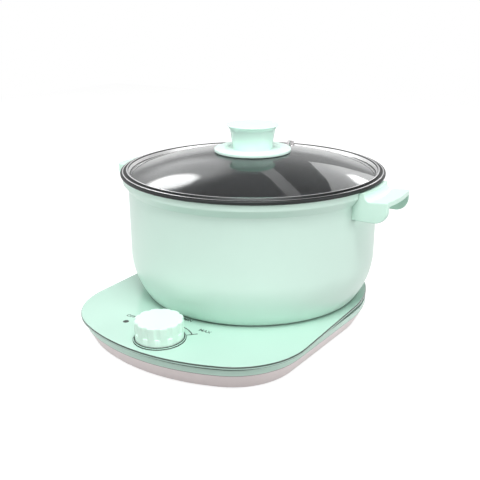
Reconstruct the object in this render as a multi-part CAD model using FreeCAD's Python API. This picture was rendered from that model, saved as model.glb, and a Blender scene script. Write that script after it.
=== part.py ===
"""Electric hot pot: a lidded pot that stands loose on a flat induction base with one dial.

Millimetres. +Z is up and z = 0 is the table. Handles point along X, the dial is at -Y.
The solids are drawn about the pot's own axis and moved once, in save(), so that the
origin lies under the centre of the whole object.
"""
import FreeCAD
import Part

import math
import os

Vector = FreeCAD.Vector
UP = Vector(0, 0, 1)
ALONG = Vector(0, 1, 0)
ACROSS = Vector(1, 0, 0)
AXIS = Vector(0, 0, 0)

# ---- Base: plan of the top panel ----
base_back_radius = 116.0          # round back, centred on the pot's axis
base_front_reach = 181.0          # pot's axis to the middle of the bowed front edge
base_front_half_width = 115.0     # where the sides run into the front corners
base_corner_radius = 70.0

# ---- Base: plan of the body, which lies inside the panel's ----
body_back_inset = 0.3
body_front_inset = 4.5
body_side_inset = 5.5
body_corner_reduction = 2.8       # body's corner radius is this much smaller
tray_taper = 7.9                  # lower edge of the tray, inside the band

# ---- Base: heights, from the table up ----
foot_height = 1.7
lower_shell_height = 15.4
upper_band_height = 5.0
panel_gap = 2.9                   # dark gap between the band and the panel
panel_thickness = 3.0

# ---- Base: walls ----
neck_inset = 8.0                  # neck under the panel, from the panel's edge
shell_wall = 2.0
floor_thickness = 2.0
deck_width = 13.0                 # deck inside the neck, which carries the screw bosses
deck_thickness = 1.5
tongue_depth = 2.0
tongue_wall = 1.4
tray_edge_radius = 2.5
panel_edge_radius = 0.8
gasket_thickness = 0.8

# ---- Clearances ----
slip_gap = 0.2                    # moulded pieces that push together
seat_gap = 0.1                    # pieces that lie on each other
run_gap = 0.05                    # turning shaft in its bush, each side
thread_gap = 0.02                 # screw in its own hole
screw_gap = 0.3                   # screw through a clearance hole

# ---- Base: feet and case screws ----
foot_radius = 8.0
foot_bevel = 1.2
foot_recess = 0.6
foot_edge_margin = 3.0
foot_front_bearing = -59.0        # degrees from +X, seen from the front corner's centre
foot_back_bearing = 47.0
foot_back_setback = 10.0
boss_radius = 3.6
boss_wall_gap = 1.0
boss_back_spread = 40.0           # degrees each side of the middle of the back
boss_front_spread = 11.0          # and of the front
boss_side_share = 0.25            # along the straight side, from the back
boss_split_drop = 3.0             # seam to the level where the two shells' bosses meet
case_screw_radius = 1.5
case_screw_head_radius = 2.8
case_screw_head_height = 2.0
case_screw_sink = 1.0             # head inside the tray's underside
case_screw_cover = 2.5            # screw's end below the top of the band
screw_slot_width = 0.8

# ---- Dial ----
dial_front_inset = 28.4           # panel's front edge to the dial's axis
dial_radius = 21.1
dial_height = 18.5                # knob top above the panel
dial_collar_height = 5.5          # smooth band below the scallops
dial_scallops = 12
dial_scallop_radius = 4.65
dial_scallop_depth = 0.9
dial_scallop_phase = 4.3          # degrees from +X to the first scallop
dial_wall = 2.2
dial_web = 1.6
dial_web_rise = 2.0               # webs above the foot of the hub
dial_edge_radius = 1.2
dial_recess_depth = 1.2
dial_gap = 0.55                   # each side of the trim ring
dial_lift = 0.4                   # knob's lower edge above the floor of the recess
dial_ring_width = 0.8
dial_ring_rise = 0.7
dial_lip_width = 0.4              # inner lip of the trim ring, which hides the gap
dial_lip_rise = 1.9
dial_hub_radius = 6.0
shaft_radius = 3.0
shaft_flat = 1.5                  # depth of the D-flat
shaft_engagement = 10.0           # length of shaft inside the knob
bushing_radius = 3.7
bushing_rise = 2.8                # threaded bushing above the panel
dial_nut_width = 10.0             # across the flats
dial_nut_height = 2.0
hub_gap = 0.6                     # knob's hub above the bushing
potentiometer_radius = 8.5
potentiometer_height = 7.6
potentiometer_floor = 2.0
potentiometer_gap = 0.4           # body below the panel
potentiometer_well = 1.5          # hole in the deck, wider than the body by this much

# ---- Coil and what lies round it ----
coil_margin = 38.0                # panel's round back to the coil
coil_hole_radius = 22.0
coil_split_radius = 48.0          # middle of the gap between the two windings
coil_split_gap = 5.0
coil_thickness = 3.6
carrier_margin = 6.0              # carrier beyond the coil
carrier_thickness = 3.0
carrier_rib_gap = 0.5             # carrier's ribs to the windings
carrier_collar_wall = 2.0
mica_thickness = 0.5
mica_margin = 1.0
stack_gap = 0.5                   # air between the mica and the panel
ferrite_bars = 6
ferrite_width = 12.0
ferrite_thickness = 3.0
ferrite_pocket = 1.2
ferrite_inset = 4.0               # bar's ends inside the coil's edges
sensor_radius = 5.0
sensor_stem_radius = 3.4
sensor_stem_drop = 2.0
carrier_post_radius = 3.0
carrier_post_bearings = (30, 150, 210, 330)
carrier_screw_radius = 1.2
carrier_screw_head = 2.4
carrier_screw_head_height = 1.4
carrier_screw_length = 7.0
screw_hole_spare = 1.0            # blind hole beyond the end of its screw

# ---- Cooling fan ----
fan_rotor_radius = 22.0
fan_height = 12.0
fan_wall = 1.5
fan_gap = 1.5                     # blades to the scroll wall
fan_floor_gap = 0.8               # blades above the floor of the housing
fan_top_gap = 0.5                 # wheel below the top of the housing
fan_blades = 15
fan_blade_depth = 6.0
fan_blade_thickness = 0.9
fan_blade_lean = 35.0             # degrees off the radius
fan_blade_inset = 1.0             # blade's outer end inside the wheel's rim
fan_hub_radius = 10.0
fan_hub_wall = 1.2
fan_disc_thickness = 1.0
fan_shaft_radius = 1.2
fan_shaft_lift = 0.3
fan_stem_radius = 3.4
fan_stem_height = 4.5
fan_spoke_width = 2.4
fan_mouth_width = 18.0
fan_mouth_bearing = 20.0          # degrees from +X to the middle of the outlet
fan_intake_radius = 18.0
fan_collar_height = 1.0
fan_collar_wall = 2.0
fan_offset_x = 5.0                # fan's centre outwards from the corner's centre
fan_offset_y = 17.0               # and forwards

# ---- Circuit boards ----
board_thickness = 1.6
board_post_radius = 2.4
power_board_length = 68.0
power_board_width = 36.0
power_board_standoff = 3.0
power_board_shift = 3.0           # board's middle outwards from the corner's centre
power_board_front = 36.0          # board's front edge forwards of the corner's centre
power_board_trim = 9.0            # cut off the board's outer front corner
power_board_post_inset = 3.4
power_board_post_setback = 8.4    # front posts, from the board's front edge
control_board_length = 38.0
control_board_width = 22.0

# ---- Parts on the power board ----
board_edge = 3.0                  # board's edges to the parts on it
part_spacing = 3.0
capacitor_length = 15.0
capacitor_depth = 9.0
capacitor_height = 9.5
terminal_length = 12.0
terminal_depth = 8.0
terminal_height = 8.5
device_length = 12.0              # transistor and rectifier, which lie against the heat sink
device_depth = 5.0
device_height = 8.0
heat_sink_length = 34.0
heat_sink_depth = 13.0
heat_sink_height = 9.0
heat_sink_fins = 6
heat_sink_fin = 2.6
heat_sink_base = 2.5
heat_sink_border = 2.0            # back and front walls that the grooves leave
choke_radius = 6.0
choke_bore = 2.6
choke_height = 7.0
choke_base = 1.0

# ---- Air slots and cord gland ----
air_slots = 5                     # on each side of the cord
air_slot_width = 2.6
air_slot_pitch = 5.0              # degrees
air_slot_start = 16.0             # degrees from the cord to the first slot
air_slot_margin = 1.5             # slot's ends to the floor and to the tongue
intake_slot_width = 2.6
intake_slot_pitch = 5.2
gland_bore_radius = 3.3
gland_wall = 1.2
gland_flange = 1.2                # flange beyond the bush
gland_flange_thickness = 1.5
gland_height = 8.0                # cord's axis above the tray's underside
gland_pad_rise = 0.3              # flat pad that stands out of the tapered wall
gland_pad_rim = 0.4               # pad beyond the gland's flange
gland_pad_length = 7.0
gland_tail = 3.0                  # bush inside the pad
gland_ring_rise = 0.3
gland_ring_width = 1.5

# ---- Pot ----
pot_wall_radius = 121.0           # outer, on the straight wall
pot_height = 117.2                # panel to the rim
pot_wall = 2.4
pot_floor = 4.0
pot_corner_radius = 70.0
pot_corner_rise = 42.0            # height where the corner runs into the wall
pot_foot_bevel_rise = 1.2
pot_foot_bevel_run = 1.9
pot_flare = 5.2                   # collar beyond the wall
pot_flare_height = 7.0
pot_collar_height = 5.8           # collar, from the rim down to the flare
flare_crease_radius = 1.0         # hollow bend where the flare leaves the wall
flare_crown_radius = 3.0          # round bend where it runs into the collar
rim_edge_radius = 0.7
disc_margin = 18.0                # edge of the flat underside to the steel disc
disc_thickness = 0.8

# ---- Handles ----
handle_reach = 26.1               # collar to the lip
handle_half_width = 27.2
handle_root = 20.0                # how far the blank starts inside the wall before it is cut
handle_back_thickness = 5.2       # collar to the face of the back plate
handle_drop = 6.7                 # rim to the flat top
handle_depth = 18.5               # flat top to the lower edge of the cheeks
handle_top_tilt = 5.5             # degrees, rising outwards
handle_top_thickness = 2.5        # at the back plate
handle_cheek = 3.0
handle_cheek_round = 1.0
handle_corner_radius = 12.0
handle_fillet = 5.0               # hollow between back plate and top
handle_lid_gap = 0.4
handle_grip_gap = 1.4             # face of the finger space, beyond the collar
handle_seat_gap = 0.15
bracket_thickness = 2.0
bracket_half_width = 14.0
bracket_height = 8.0
bracket_rise = 2.2                # above the lower edge of the cheeks
bracket_boss_radius = 3.0
bracket_boss_cover = 2.6          # end of the boss to the face of the finger space
handle_screw_spread = 8.0         # each side of the middle
handle_screw_radius = 1.9
handle_screw_bite = 2.5           # screw inside the bracket's boss
handle_screw_head = 3.4
handle_screw_head_height = 2.0
handle_screw_socket = 1.2

# ---- Lid: glass and band ----
lid_overhang = 1.8                # band beyond the pot's collar
band_gauge = 0.7
band_lip_gap = 1.4                # pot's collar to the lip that locates the lid
band_hook = 2.4                   # lower flange under the glass
band_shoulder_height = 3.0        # outer shoulder above the rim
band_ridge_height = 5.3           # inner ridge above the rim
band_ridge_cover = 1.1            # ridge over the edge of the glass
band_ridge_width = 1.85
band_ridge_slope = 1.6
band_ridge_fall = 2.6             # run of the ridge's inner face, which leans in over the glass
band_valley_rise = 0.3            # from the shoulder in to the foot of the ridge
band_seat_bend = 0.6
band_bead_bend = 1.5
band_shoulder_bend = 0.9
band_ridge_bend = 0.5
glass_thickness = 3.5
glass_edge_drop = 0.35            # rim to the outer face of the glass at its edge
dome_radius = 360.0
vent_distance = 72.0              # lid's axis to the steam vent
vent_bearing = 87.7               # degrees from +X
vent_hole_radius = 3.0
vent_bore_radius = 1.9
vent_flange_radius = 4.6
vent_flange_thickness = 0.6
vent_collar_radius = 3.5
vent_rise = 4.0                   # collar's top above the glass

# ---- Lid: knob and its seat ----
seat_radius = 37.2
seat_rise = 1.6                   # seat's rim above the top of the glass
seat_edge = 2.4
seat_dish = 0.8                   # how far the seat is hollowed round the knob
seat_dish_radius = 25.5
seat_dish_slope = 1.6
seat_contact_radius = 35.0        # where the seat leaves the glass
seat_hub_radius = 5.8             # hub that fills the hole in the glass
seat_hub_clear = 0.3              # hub's end above the washer
knob_foot_radius = 18.8
knob_neck_radius = 21.6
knob_top_radius = 25.3
knob_height = 22.6                # seat's rim to the knob's top
knob_flare_height = 6.2
knob_rim_width = 2.4
knob_dish = 1.2                   # hollow in the knob's top
knob_wall = 2.6
knob_boss_radius = 5.0
knob_edge_radius = 0.9
knob_screw_radius = 2.4
knob_screw_head_radius = 5.0
knob_screw_head_height = 2.6
knob_screw_slot = 1.2
knob_screw_engagement = 11.0
washer_radius = 9.0
washer_thickness = 1.5

# ---- Worked out from the sizes above: heights ----
z_floor = foot_height
z_seam = z_floor + lower_shell_height
z_band = z_seam + upper_band_height
z_under = z_band + panel_gap
z_plate = z_under + panel_thickness
z_tray = z_floor + floor_thickness
z_deck = z_band - deck_thickness
z_neck_top = z_under - gasket_thickness
z_boss = z_seam - boss_split_drop
z_screw_head = z_floor + case_screw_head_height + case_screw_sink
z_mica = z_under - stack_gap
z_coil = z_mica - mica_thickness
z_carrier_top = z_coil - coil_thickness
z_carrier = z_carrier_top - carrier_thickness
z_fan = z_tray + fan_collar_height
z_power_board = z_tray + power_board_standoff
z_potentiometer = z_under - potentiometer_gap - potentiometer_height
z_control_board = z_potentiometer - board_thickness
z_bushing = z_plate + bushing_rise
z_hub = z_bushing + hub_gap
z_recess = z_plate - dial_recess_depth
z_cord = z_floor + gland_height
z_rim = z_plate + pot_height
z_collar = z_rim - pot_collar_height
z_crease = z_collar - pot_flare_height
z_handle_top = z_rim - handle_drop
z_handle_low = z_handle_top - handle_depth
z_bracket = z_handle_low + bracket_rise

# ---- Worked out: radii and places ----
panel_plan = (base_back_radius, base_front_reach, base_front_half_width, base_corner_radius)
body_back_radius = base_back_radius - body_back_inset
body_front_reach = base_front_reach - body_front_inset
body_half_width = base_front_half_width - body_side_inset
body_corner_radius = base_corner_radius - body_corner_reduction
body_plan = (body_back_radius, body_front_reach, body_half_width, body_corner_radius)
coil_radius = base_back_radius - coil_margin
carrier_radius = coil_radius + carrier_margin
coil_inner_edge = coil_split_radius - coil_split_gap / 2
coil_outer_edge = coil_split_radius + coil_split_gap / 2
dial_y = -(base_front_reach - dial_front_inset)
dial_place = Vector(0, dial_y, 0)
dial_recess_radius = dial_radius + 2 * dial_gap + dial_ring_width
gland_bush_radius = gland_bore_radius + gland_wall
gland_flange_radius = gland_bush_radius + gland_flange
gland_pad_radius = gland_flange_radius + gland_pad_rim
collar_radius = pot_wall_radius + pot_flare
collar_inner = collar_radius - pot_wall
lip_x = collar_radius + handle_reach
back_face = collar_radius + handle_back_thickness
grip_face = collar_radius + handle_grip_gap
boss_end = grip_face - bracket_boss_cover
band_radius = collar_radius + lid_overhang
lip_radius = collar_inner - band_lip_gap
glass_radius = lip_radius - band_gauge - seat_gap
ridge_inner = glass_radius - band_ridge_cover
dome_drop = math.sqrt(dome_radius ** 2 - glass_radius ** 2)
z_dome_centre = z_rim - glass_edge_drop - dome_drop
z_glass_top = z_dome_centre + dome_radius
z_seat = z_glass_top + seat_rise
z_seat_dish = z_seat - seat_dish
z_knob = z_seat + knob_height
z_knob_neck = z_knob - knob_flare_height
pot_y = (base_front_reach - band_radius) / 2
past = 1.0                        # how far a cutter runs past the face it cuts
tiny = 0.01


# ---- Small tools ----
def save(name, shape):
    """Move a shape from the pot's axis to the object's frame and write it."""
    moved = shape.copy()
    moved.translate(Vector(0, pot_y, 0))
    moved.exportStep("parts/" + name + ".step")


def polar(radius, degrees, z=0.0):
    turn = math.radians(degrees)
    return Vector(radius * math.cos(turn), radius * math.sin(turn), z)


def rod(place, z_low, z_high, radius):
    return Part.makeCylinder(radius, z_high - z_low, Vector(place.x, place.y, z_low), UP)


def tube(place, z_low, z_high, outer, inner):
    bore = rod(place, z_low - tiny, z_high + tiny, inner)
    return rod(place, z_low, z_high, outer).cut(bore)


def block(x_low, x_high, y_low, y_high, z_low, z_high):
    size = (x_high - x_low, y_high - y_low, z_high - z_low)
    return Part.makeBox(*size, Vector(x_low, y_low, z_low))


def turned_block(place, degrees, x_low, x_high, half_width, z_low, z_high):
    """Block that points outwards from a place at a bearing, between two distances."""
    shape = block(x_low, x_high, -half_width, half_width, z_low, z_high)
    shape.rotate(AXIS, UP, degrees)
    shape.translate(place)
    return shape


def join(shapes):
    return shapes[0].fuse(shapes[1:]).removeSplitter()


def cut_all(shape, cutters):
    for cutter in cutters:
        shape = shape.cut(cutter)
    return shape


# ---- Profiles in the XZ plane ----
def line(start, end):
    return Part.LineSegment(Vector(start[0], 0, start[1]), Vector(end[0], 0, end[1])).toShape()


def arc(centre, radius, start, end):
    """Arc in the XZ plane from one angle to another, in degrees, whichever way is given."""
    points = []
    for angle in (start, (start + end) / 2, end):
        turn = math.radians(angle)
        x = centre[0] + radius * math.cos(turn)
        points.append(Vector(x, 0, centre[1] + radius * math.sin(turn)))
    return Part.Arc(*points).toShape()


def arc_from(start, heading, end):
    """Arc that leaves a point along a heading (dr, dz) and runs to another point."""
    chord = Vector(end[0] - start[0], 0, end[1] - start[1])
    normal = Vector(-heading[1], 0, heading[0]).normalize()
    reach = chord.Length ** 2 / (2 * chord.dot(normal))
    first = Vector(start[0], 0, start[1])
    centre = first + normal * reach
    outwards = (first + chord * 0.5 - centre).normalize()
    return Part.Arc(first, centre + outwards * abs(reach), first + chord).toShape()


def ends(edge):
    """First and last point of an edge of a profile, as (r, z) in the order it was drawn."""
    first = edge.valueAt(edge.FirstParameter)
    last = edge.valueAt(edge.LastParameter)
    return (first.x, first.z), (last.x, last.z)


def profile(*pieces):
    """Closed face from points (r, z) and edges in order, joined by straight lines."""
    spans = [(piece, piece) if isinstance(piece, tuple) else ends(piece) for piece in pieces]
    edges = []
    for index, piece in enumerate(pieces):
        if not isinstance(piece, tuple):
            edges.append(piece)
        here = spans[index][1]
        there = spans[(index + 1) % len(pieces)][0]
        if math.dist(here, there) > 1e-7:
            edges.append(line(here, there))
    return Part.Face(Part.Wire(edges))


def turned(*pieces):
    """Solid of revolution about the pot's axis."""
    return profile(*pieces).revolve(AXIS, UP, 360)


def turned_at(place, *pieces):
    shape = turned(*pieces)
    shape.translate(place)
    return shape


def shifted(corners, distance):
    """Path of corners (r, z, bend radius) moved to its left by a distance."""
    points = [Vector(r, 0, z) for r, z, bend in corners]
    ways = [(there - here).normalize() for here, there in zip(points, points[1:])]
    ways = [ways[0]] + ways + [ways[-1]]
    moved = []
    for point, before, after, (r, z, bend) in zip(points, ways, ways[1:], corners):
        left = Vector(-before.z - after.z, 0, before.x + after.x)
        place = point + left * (distance / (1 + before.dot(after)))
        turns_left = before.x * after.z - before.z * after.x > 0
        moved.append((place.x, place.z, bend - distance if turns_left else bend + distance))
    return moved


def rounded(corners):
    """Profile pieces of an open path: its two ends, and an arc in place of each corner."""
    points = [Vector(r, 0, z) for r, z, bend in corners]
    pieces = [corners[0][:2]]
    for index in range(1, len(corners) - 1):
        corner = points[index]
        bend = corners[index][2]
        back = (points[index - 1] - corner).normalize()
        on = (points[index + 1] - corner).normalize()
        half = back.getAngle(on) / 2
        reach = bend / math.tan(half)
        middle = (back + on).normalize() * (bend / math.sin(half) - bend)
        pieces.append(Part.Arc(corner + back * reach, corner + middle, corner + on * reach).toShape())
    pieces.append(corners[-1][:2])
    return pieces


def sheet(corners, gauge):
    """Profile pieces of a sheet of one gauge that is bent along a path."""
    one_side = rounded(shifted(corners, gauge / 2))
    other_side = rounded(shifted(corners[::-1], gauge / 2))
    return one_side + other_side


# ---- Plan of the base ----
def corner_centre(plan):
    """Centre of the right front corner."""
    back, front, half_width, corner = plan
    x = half_width - corner
    return Vector(x, -math.sqrt((front - corner) ** 2 - x ** 2), 0)


def side_bearing(plan):
    """Bearing, in degrees, that the straight right side faces."""
    back, front, half_width, corner = plan
    centre = corner_centre(plan)
    return math.degrees(math.atan2(centre.y, centre.x) + math.acos((back - corner) / centre.Length))


def outline(plan, inset, z):
    """Round back, straight sides, two corners and a bowed front, all tangent, moved in by inset."""
    back, front, half_width, corner = plan
    centre = corner_centre(plan)
    side = side_bearing(plan)
    toward_corner = math.degrees(math.atan2(centre.y, centre.x))
    up = Vector(0, 0, z)
    right = [
        polar(back - inset, side) + up,
        centre + polar(corner - inset, side) + up,
        centre + polar(corner - inset, (side + toward_corner) / 2) + up,
        polar(front - inset, toward_corner) + up,
    ]
    left = [Vector(-point.x, point.y, z) for point in right]
    edges = [
        Part.Arc(right[0], Vector(0, back - inset, z), left[0]),
        Part.LineSegment(left[0], left[1]),
        Part.Arc(left[1], left[2], left[3]),
        Part.Arc(left[3], Vector(0, inset - front, z), right[3]),
        Part.Arc(right[3], right[2], right[1]),
        Part.LineSegment(right[1], right[0]),
    ]
    return Part.Wire([edge.toShape() for edge in edges])


def slab(plan, inset, z_low, z_high):
    return Part.Face(outline(plan, inset, z_low)).extrude(Vector(0, 0, z_high - z_low))


def frame(plan, outer_inset, width, z_low, z_high):
    hole = slab(plan, outer_inset + width, z_low - tiny, z_high + tiny)
    return slab(plan, outer_inset, z_low, z_high).cut(hole)


def taper(inset_low, z_low, inset_high, z_high):
    """Tapered block with the body's plan."""
    wires = [outline(body_plan, inset_low, z_low), outline(body_plan, inset_high, z_high)]
    return Part.makeLoft(wires, True, True)


def tray_inset(z):
    """Inset of the tapered wall's outer face at a height, from the body's plan."""
    return tray_taper * (z_seam - z) / lower_shell_height


# ---- Places shared by several pieces ----
def both_sides(place):
    return [place, Vector(-place.x, place.y, place.z)]


def boss_places():
    """Six case screws: two at the back, two at the sides, two at the front."""
    clear = tray_taper + shell_wall + boss_radius + boss_wall_gap
    side = side_bearing(body_plan)
    start = polar(body_back_radius - clear, side)
    end = corner_centre(body_plan) + polar(body_corner_radius - clear, side)
    places = both_sides(polar(body_back_radius - clear, 90 - boss_back_spread))
    places += both_sides(start + (end - start) * boss_side_share)
    return places + both_sides(polar(body_front_reach - clear, boss_front_spread - 90))


def foot_places():
    """Two feet under the front corners and two under the round back."""
    clear = tray_taper + foot_radius + foot_edge_margin
    front = corner_centre(body_plan) + polar(body_corner_radius - clear, foot_front_bearing)
    back = polar(body_back_radius - clear - foot_back_setback, foot_back_bearing)
    return both_sides(front) + both_sides(back)


def carrier_places():
    distance = carrier_radius - carrier_post_radius
    return [polar(distance, bearing) for bearing in carrier_post_bearings]


def power_board_box():
    """Lowest and highest corner of the power board in plan."""
    corner = corner_centre(body_plan)
    x_low = corner.x + power_board_shift - power_board_length / 2
    y_low = corner.y - power_board_front
    return x_low, x_low + power_board_length, y_low, y_low + power_board_width


def fan_place():
    corner = corner_centre(body_plan)
    return Vector(-corner.x - fan_offset_x, corner.y - fan_offset_y, 0)


def power_board_posts():
    x_low, x_high, y_low, y_high = power_board_box()
    inset = power_board_post_inset
    xs = (x_low + inset, x_high - 2 * inset)
    ys = (y_low + power_board_post_setback, y_high - inset)
    return [Vector(x, y, 0) for x in xs for y in ys]


def control_board_posts():
    x = control_board_length / 2 - board_post_radius
    return [Vector(-x, dial_y, 0), Vector(x, dial_y, 0)]


def gland_face():
    """Distance from the pot's axis to the flat pad that the cord gland bears on."""
    wall = body_back_radius - tray_inset(z_cord + gland_pad_radius)
    return wall + gland_pad_rise


def bar_y(radius, y_low, y_high):
    """Round bar along Y on the cord's axis."""
    return Part.makeCylinder(radius, y_high - y_low, Vector(0, y_low, z_cord), ALONG)


# ---- Base housing ----
def top_panel():
    panel = slab(panel_plan, 0, z_under, z_plate)
    rims = [edge for edge in panel.Edges if edge.BoundBox.ZLength < tiny]
    panel = panel.makeFillet(panel_edge_radius, rims)
    panel = panel.cut(rod(dial_place, z_recess, z_plate + past, dial_recess_radius))
    return panel.cut(rod(dial_place, z_under - past, z_plate + past, bushing_radius + slip_gap))


def panel_gasket():
    return frame(panel_plan, neck_inset, shell_wall, z_neck_top, z_under)


def upper_shell():
    """Band, deck, neck and tongue in one moulding, with bosses that hang from the deck."""
    deck_end = neck_inset + shell_wall + deck_width
    inside = slab(panel_plan, deck_end, z_deck - past, z_band + past)
    tongue_inset = tray_inset(z_seam - tongue_depth) + shell_wall + slip_gap
    parts = [
        frame(body_plan, 0, shell_wall, z_seam, z_band),
        slab(body_plan, 0, z_deck, z_band).cut(inside),
        frame(panel_plan, neck_inset, shell_wall, z_deck, z_neck_top),
        frame(body_plan, tongue_inset, tongue_wall, z_seam - tongue_depth, z_band),
    ]
    parts += [rod(place, z_boss, z_band, boss_radius) for place in boss_places()]
    shell = join(parts)
    z_hole_end = z_band - case_screw_cover + screw_hole_spare
    holes = [rod(place, z_boss - past, z_hole_end, case_screw_radius) for place in boss_places()]
    well = rod(dial_place, z_deck - past, z_band + past, potentiometer_radius + potentiometer_well)
    face = gland_face()
    notch = bar_y(gland_pad_radius + slip_gap, face - gland_pad_length - gland_tail, face + past)
    return cut_all(shell, holes + [well, notch]).removeSplitter()


def lower_shell():
    """Tapered tray with a rounded lower edge, posts, bosses, air slots and cord pad."""
    tray = taper(tray_taper, z_floor, 0, z_seam)
    rims = [edge for edge in tray.Edges if edge.BoundBox.ZMax < z_floor + tiny]
    tray = tray.makeFillet(tray_edge_radius, rims)
    inner_low = tray_inset(z_tray) + shell_wall
    inner_high = tray_inset(z_seam + past) + shell_wall
    tray = tray.cut(taper(inner_low, z_tray, inner_high, z_seam + past))
    face = gland_face()
    z_root = z_tray - floor_thickness / 2
    adds = [rod(place, z_root, z_boss, boss_radius) for place in boss_places()]
    adds += [rod(place, z_root, z_carrier, carrier_post_radius) for place in carrier_places()]
    adds += [rod(place, z_root, z_power_board, board_post_radius) for place in power_board_posts()]
    adds += [rod(place, z_root, z_control_board, board_post_radius) for place in control_board_posts()]
    adds.append(bar_y(gland_pad_radius, face - gland_pad_length, face))
    adds.append(tube(fan_place(), z_root, z_fan, fan_intake_radius + fan_collar_wall, fan_intake_radius))
    tray = join([tray] + adds)
    cuts = []
    for place in foot_places():
        cuts.append(rod(place, z_floor - past, z_floor + foot_recess, foot_radius + seat_gap))
    for place in boss_places():
        cuts.append(rod(place, z_floor - past, z_boss + past, case_screw_radius + screw_gap))
        cuts.append(rod(place, z_floor - past, z_screw_head, case_screw_head_radius + screw_gap))
    hole_depth = carrier_screw_length - carrier_thickness + screw_hole_spare
    for place in carrier_places():
        cuts.append(rod(place, z_carrier - hole_depth, z_carrier + past, carrier_screw_radius))
    cuts.append(bar_y(gland_bush_radius, face - gland_pad_length - past, face + past))
    return cut_all(tray, cuts + intake_slots() + exhaust_slots()).removeSplitter()


def intake_slots():
    """Parallel slots under the fan, each as long as the intake circle allows."""
    slots = []
    half_slot = intake_slot_width / 2
    reach = fan_intake_radius - half_slot
    count = int(reach // intake_slot_pitch)
    for step in range(-count, count + 1):
        y = step * intake_slot_pitch
        half = math.sqrt(fan_intake_radius ** 2 - (abs(y) + half_slot) ** 2)
        slot = block(-half, half, y - half_slot, y + half_slot, z_floor - past, z_tray + past)
        slot.translate(fan_place())
        slots.append(slot)
    return slots


def exhaust_slots():
    """Upright slots through the tapered back wall, in a row on each side of the cord."""
    z_low = z_tray + air_slot_margin
    z_high = z_seam - tongue_depth - air_slot_margin
    inner = body_back_radius - tray_taper - shell_wall - past
    slots = []
    for side in (1, -1):
        for step in range(air_slots):
            bearing = 90 + side * (air_slot_start + step * air_slot_pitch)
            slots.append(turned_block(
                AXIS, bearing, inner, body_back_radius, air_slot_width / 2, z_low, z_high))
    return slots


def feet():
    z_high = z_floor + foot_recess
    pads = []
    for place in foot_places():
        pads.append(turned_at(
            place, (0.0, 0.0), (foot_radius - foot_bevel, 0.0), (foot_radius, foot_bevel),
            (foot_radius, z_high), (0.0, z_high)))
    return Part.makeCompound(pads)


def case_screws():
    z_head = z_screw_head - case_screw_head_height
    screws = []
    for place in boss_places():
        head = rod(place, z_head, z_screw_head, case_screw_head_radius)
        shank = rod(place, z_screw_head, z_band - case_screw_cover, case_screw_radius - thread_gap)
        slot = turned_block(
            place, 0, -case_screw_head_radius, case_screw_head_radius, screw_slot_width / 2,
            z_head - past, z_head + case_screw_head_height / 2)
        screws.append(join([head, shank]).cut(slot))
    return Part.makeCompound(screws)


def cord_gland():
    """Flanged bush with a snap ring inside; the cord passes through its bore."""
    face = gland_face()
    start = face - gland_pad_length - gland_tail
    end = face + gland_flange_thickness
    bush = bar_y(gland_bush_radius - seat_gap, start, end)
    flange = bar_y(gland_flange_radius, face, end)
    ring = bar_y(gland_bush_radius + gland_ring_rise, start, start + gland_ring_width)
    return join([bush, flange, ring]).cut(bar_y(gland_bore_radius, start - past, end + past))


# ---- Coil stack ----
def coil_carrier():
    """Disc with a rib between the windings, a collar inside them and pockets for the bars."""
    disc = tube(AXIS, z_carrier, z_carrier_top, carrier_radius, sensor_stem_radius + seat_gap)
    rib = tube(
        AXIS, z_carrier, z_coil, coil_outer_edge - carrier_rib_gap, coil_inner_edge + carrier_rib_gap)
    collar_outer = coil_hole_radius - carrier_rib_gap
    collar = tube(AXIS, z_carrier, z_coil, collar_outer, collar_outer - carrier_collar_wall)
    holes = []
    for place in carrier_places():
        holes.append(rod(place, z_carrier - past, z_carrier_top + past, carrier_screw_radius + screw_gap))
    return cut_all(join([disc, rib, collar]), ferrite_boxes(slip_gap) + holes)


def ferrite_boxes(growth):
    """Bars like spokes under the coil, seated in pockets of the carrier."""
    z_high = z_carrier + ferrite_pocket
    x_low = coil_hole_radius + ferrite_inset - growth
    x_high = coil_radius - ferrite_inset + growth
    bars = []
    for index in range(ferrite_bars):
        bars.append(turned_block(
            AXIS, index * 360 / ferrite_bars, x_low, x_high, ferrite_width / 2 + growth,
            z_high - ferrite_thickness, z_high))
    return bars


def induction_coil():
    inner = tube(AXIS, z_carrier_top, z_coil, coil_inner_edge, coil_hole_radius)
    outer = tube(AXIS, z_carrier_top, z_coil, coil_radius, coil_outer_edge)
    return Part.makeCompound([inner, outer])


def mica_sheet():
    return tube(AXIS, z_coil, z_mica, coil_radius + mica_margin, sensor_radius + screw_gap)


def temperature_sensor():
    """Button pressed against the panel, on a stem that clips into the carrier."""
    button = rod(AXIS, z_carrier_top, z_under - seat_gap, sensor_radius)
    return join([button, rod(AXIS, z_carrier - sensor_stem_drop, z_carrier_top, sensor_stem_radius)])


def carrier_screws():
    z_head = z_carrier_top + carrier_screw_head_height
    z_end = z_carrier_top - carrier_screw_length
    screws = []
    for place in carrier_places():
        head = rod(place, z_carrier_top, z_head, carrier_screw_head)
        screws.append(join([head, rod(place, z_end, z_carrier_top, carrier_screw_radius - thread_gap)]))
    return Part.makeCompound(screws)


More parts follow.
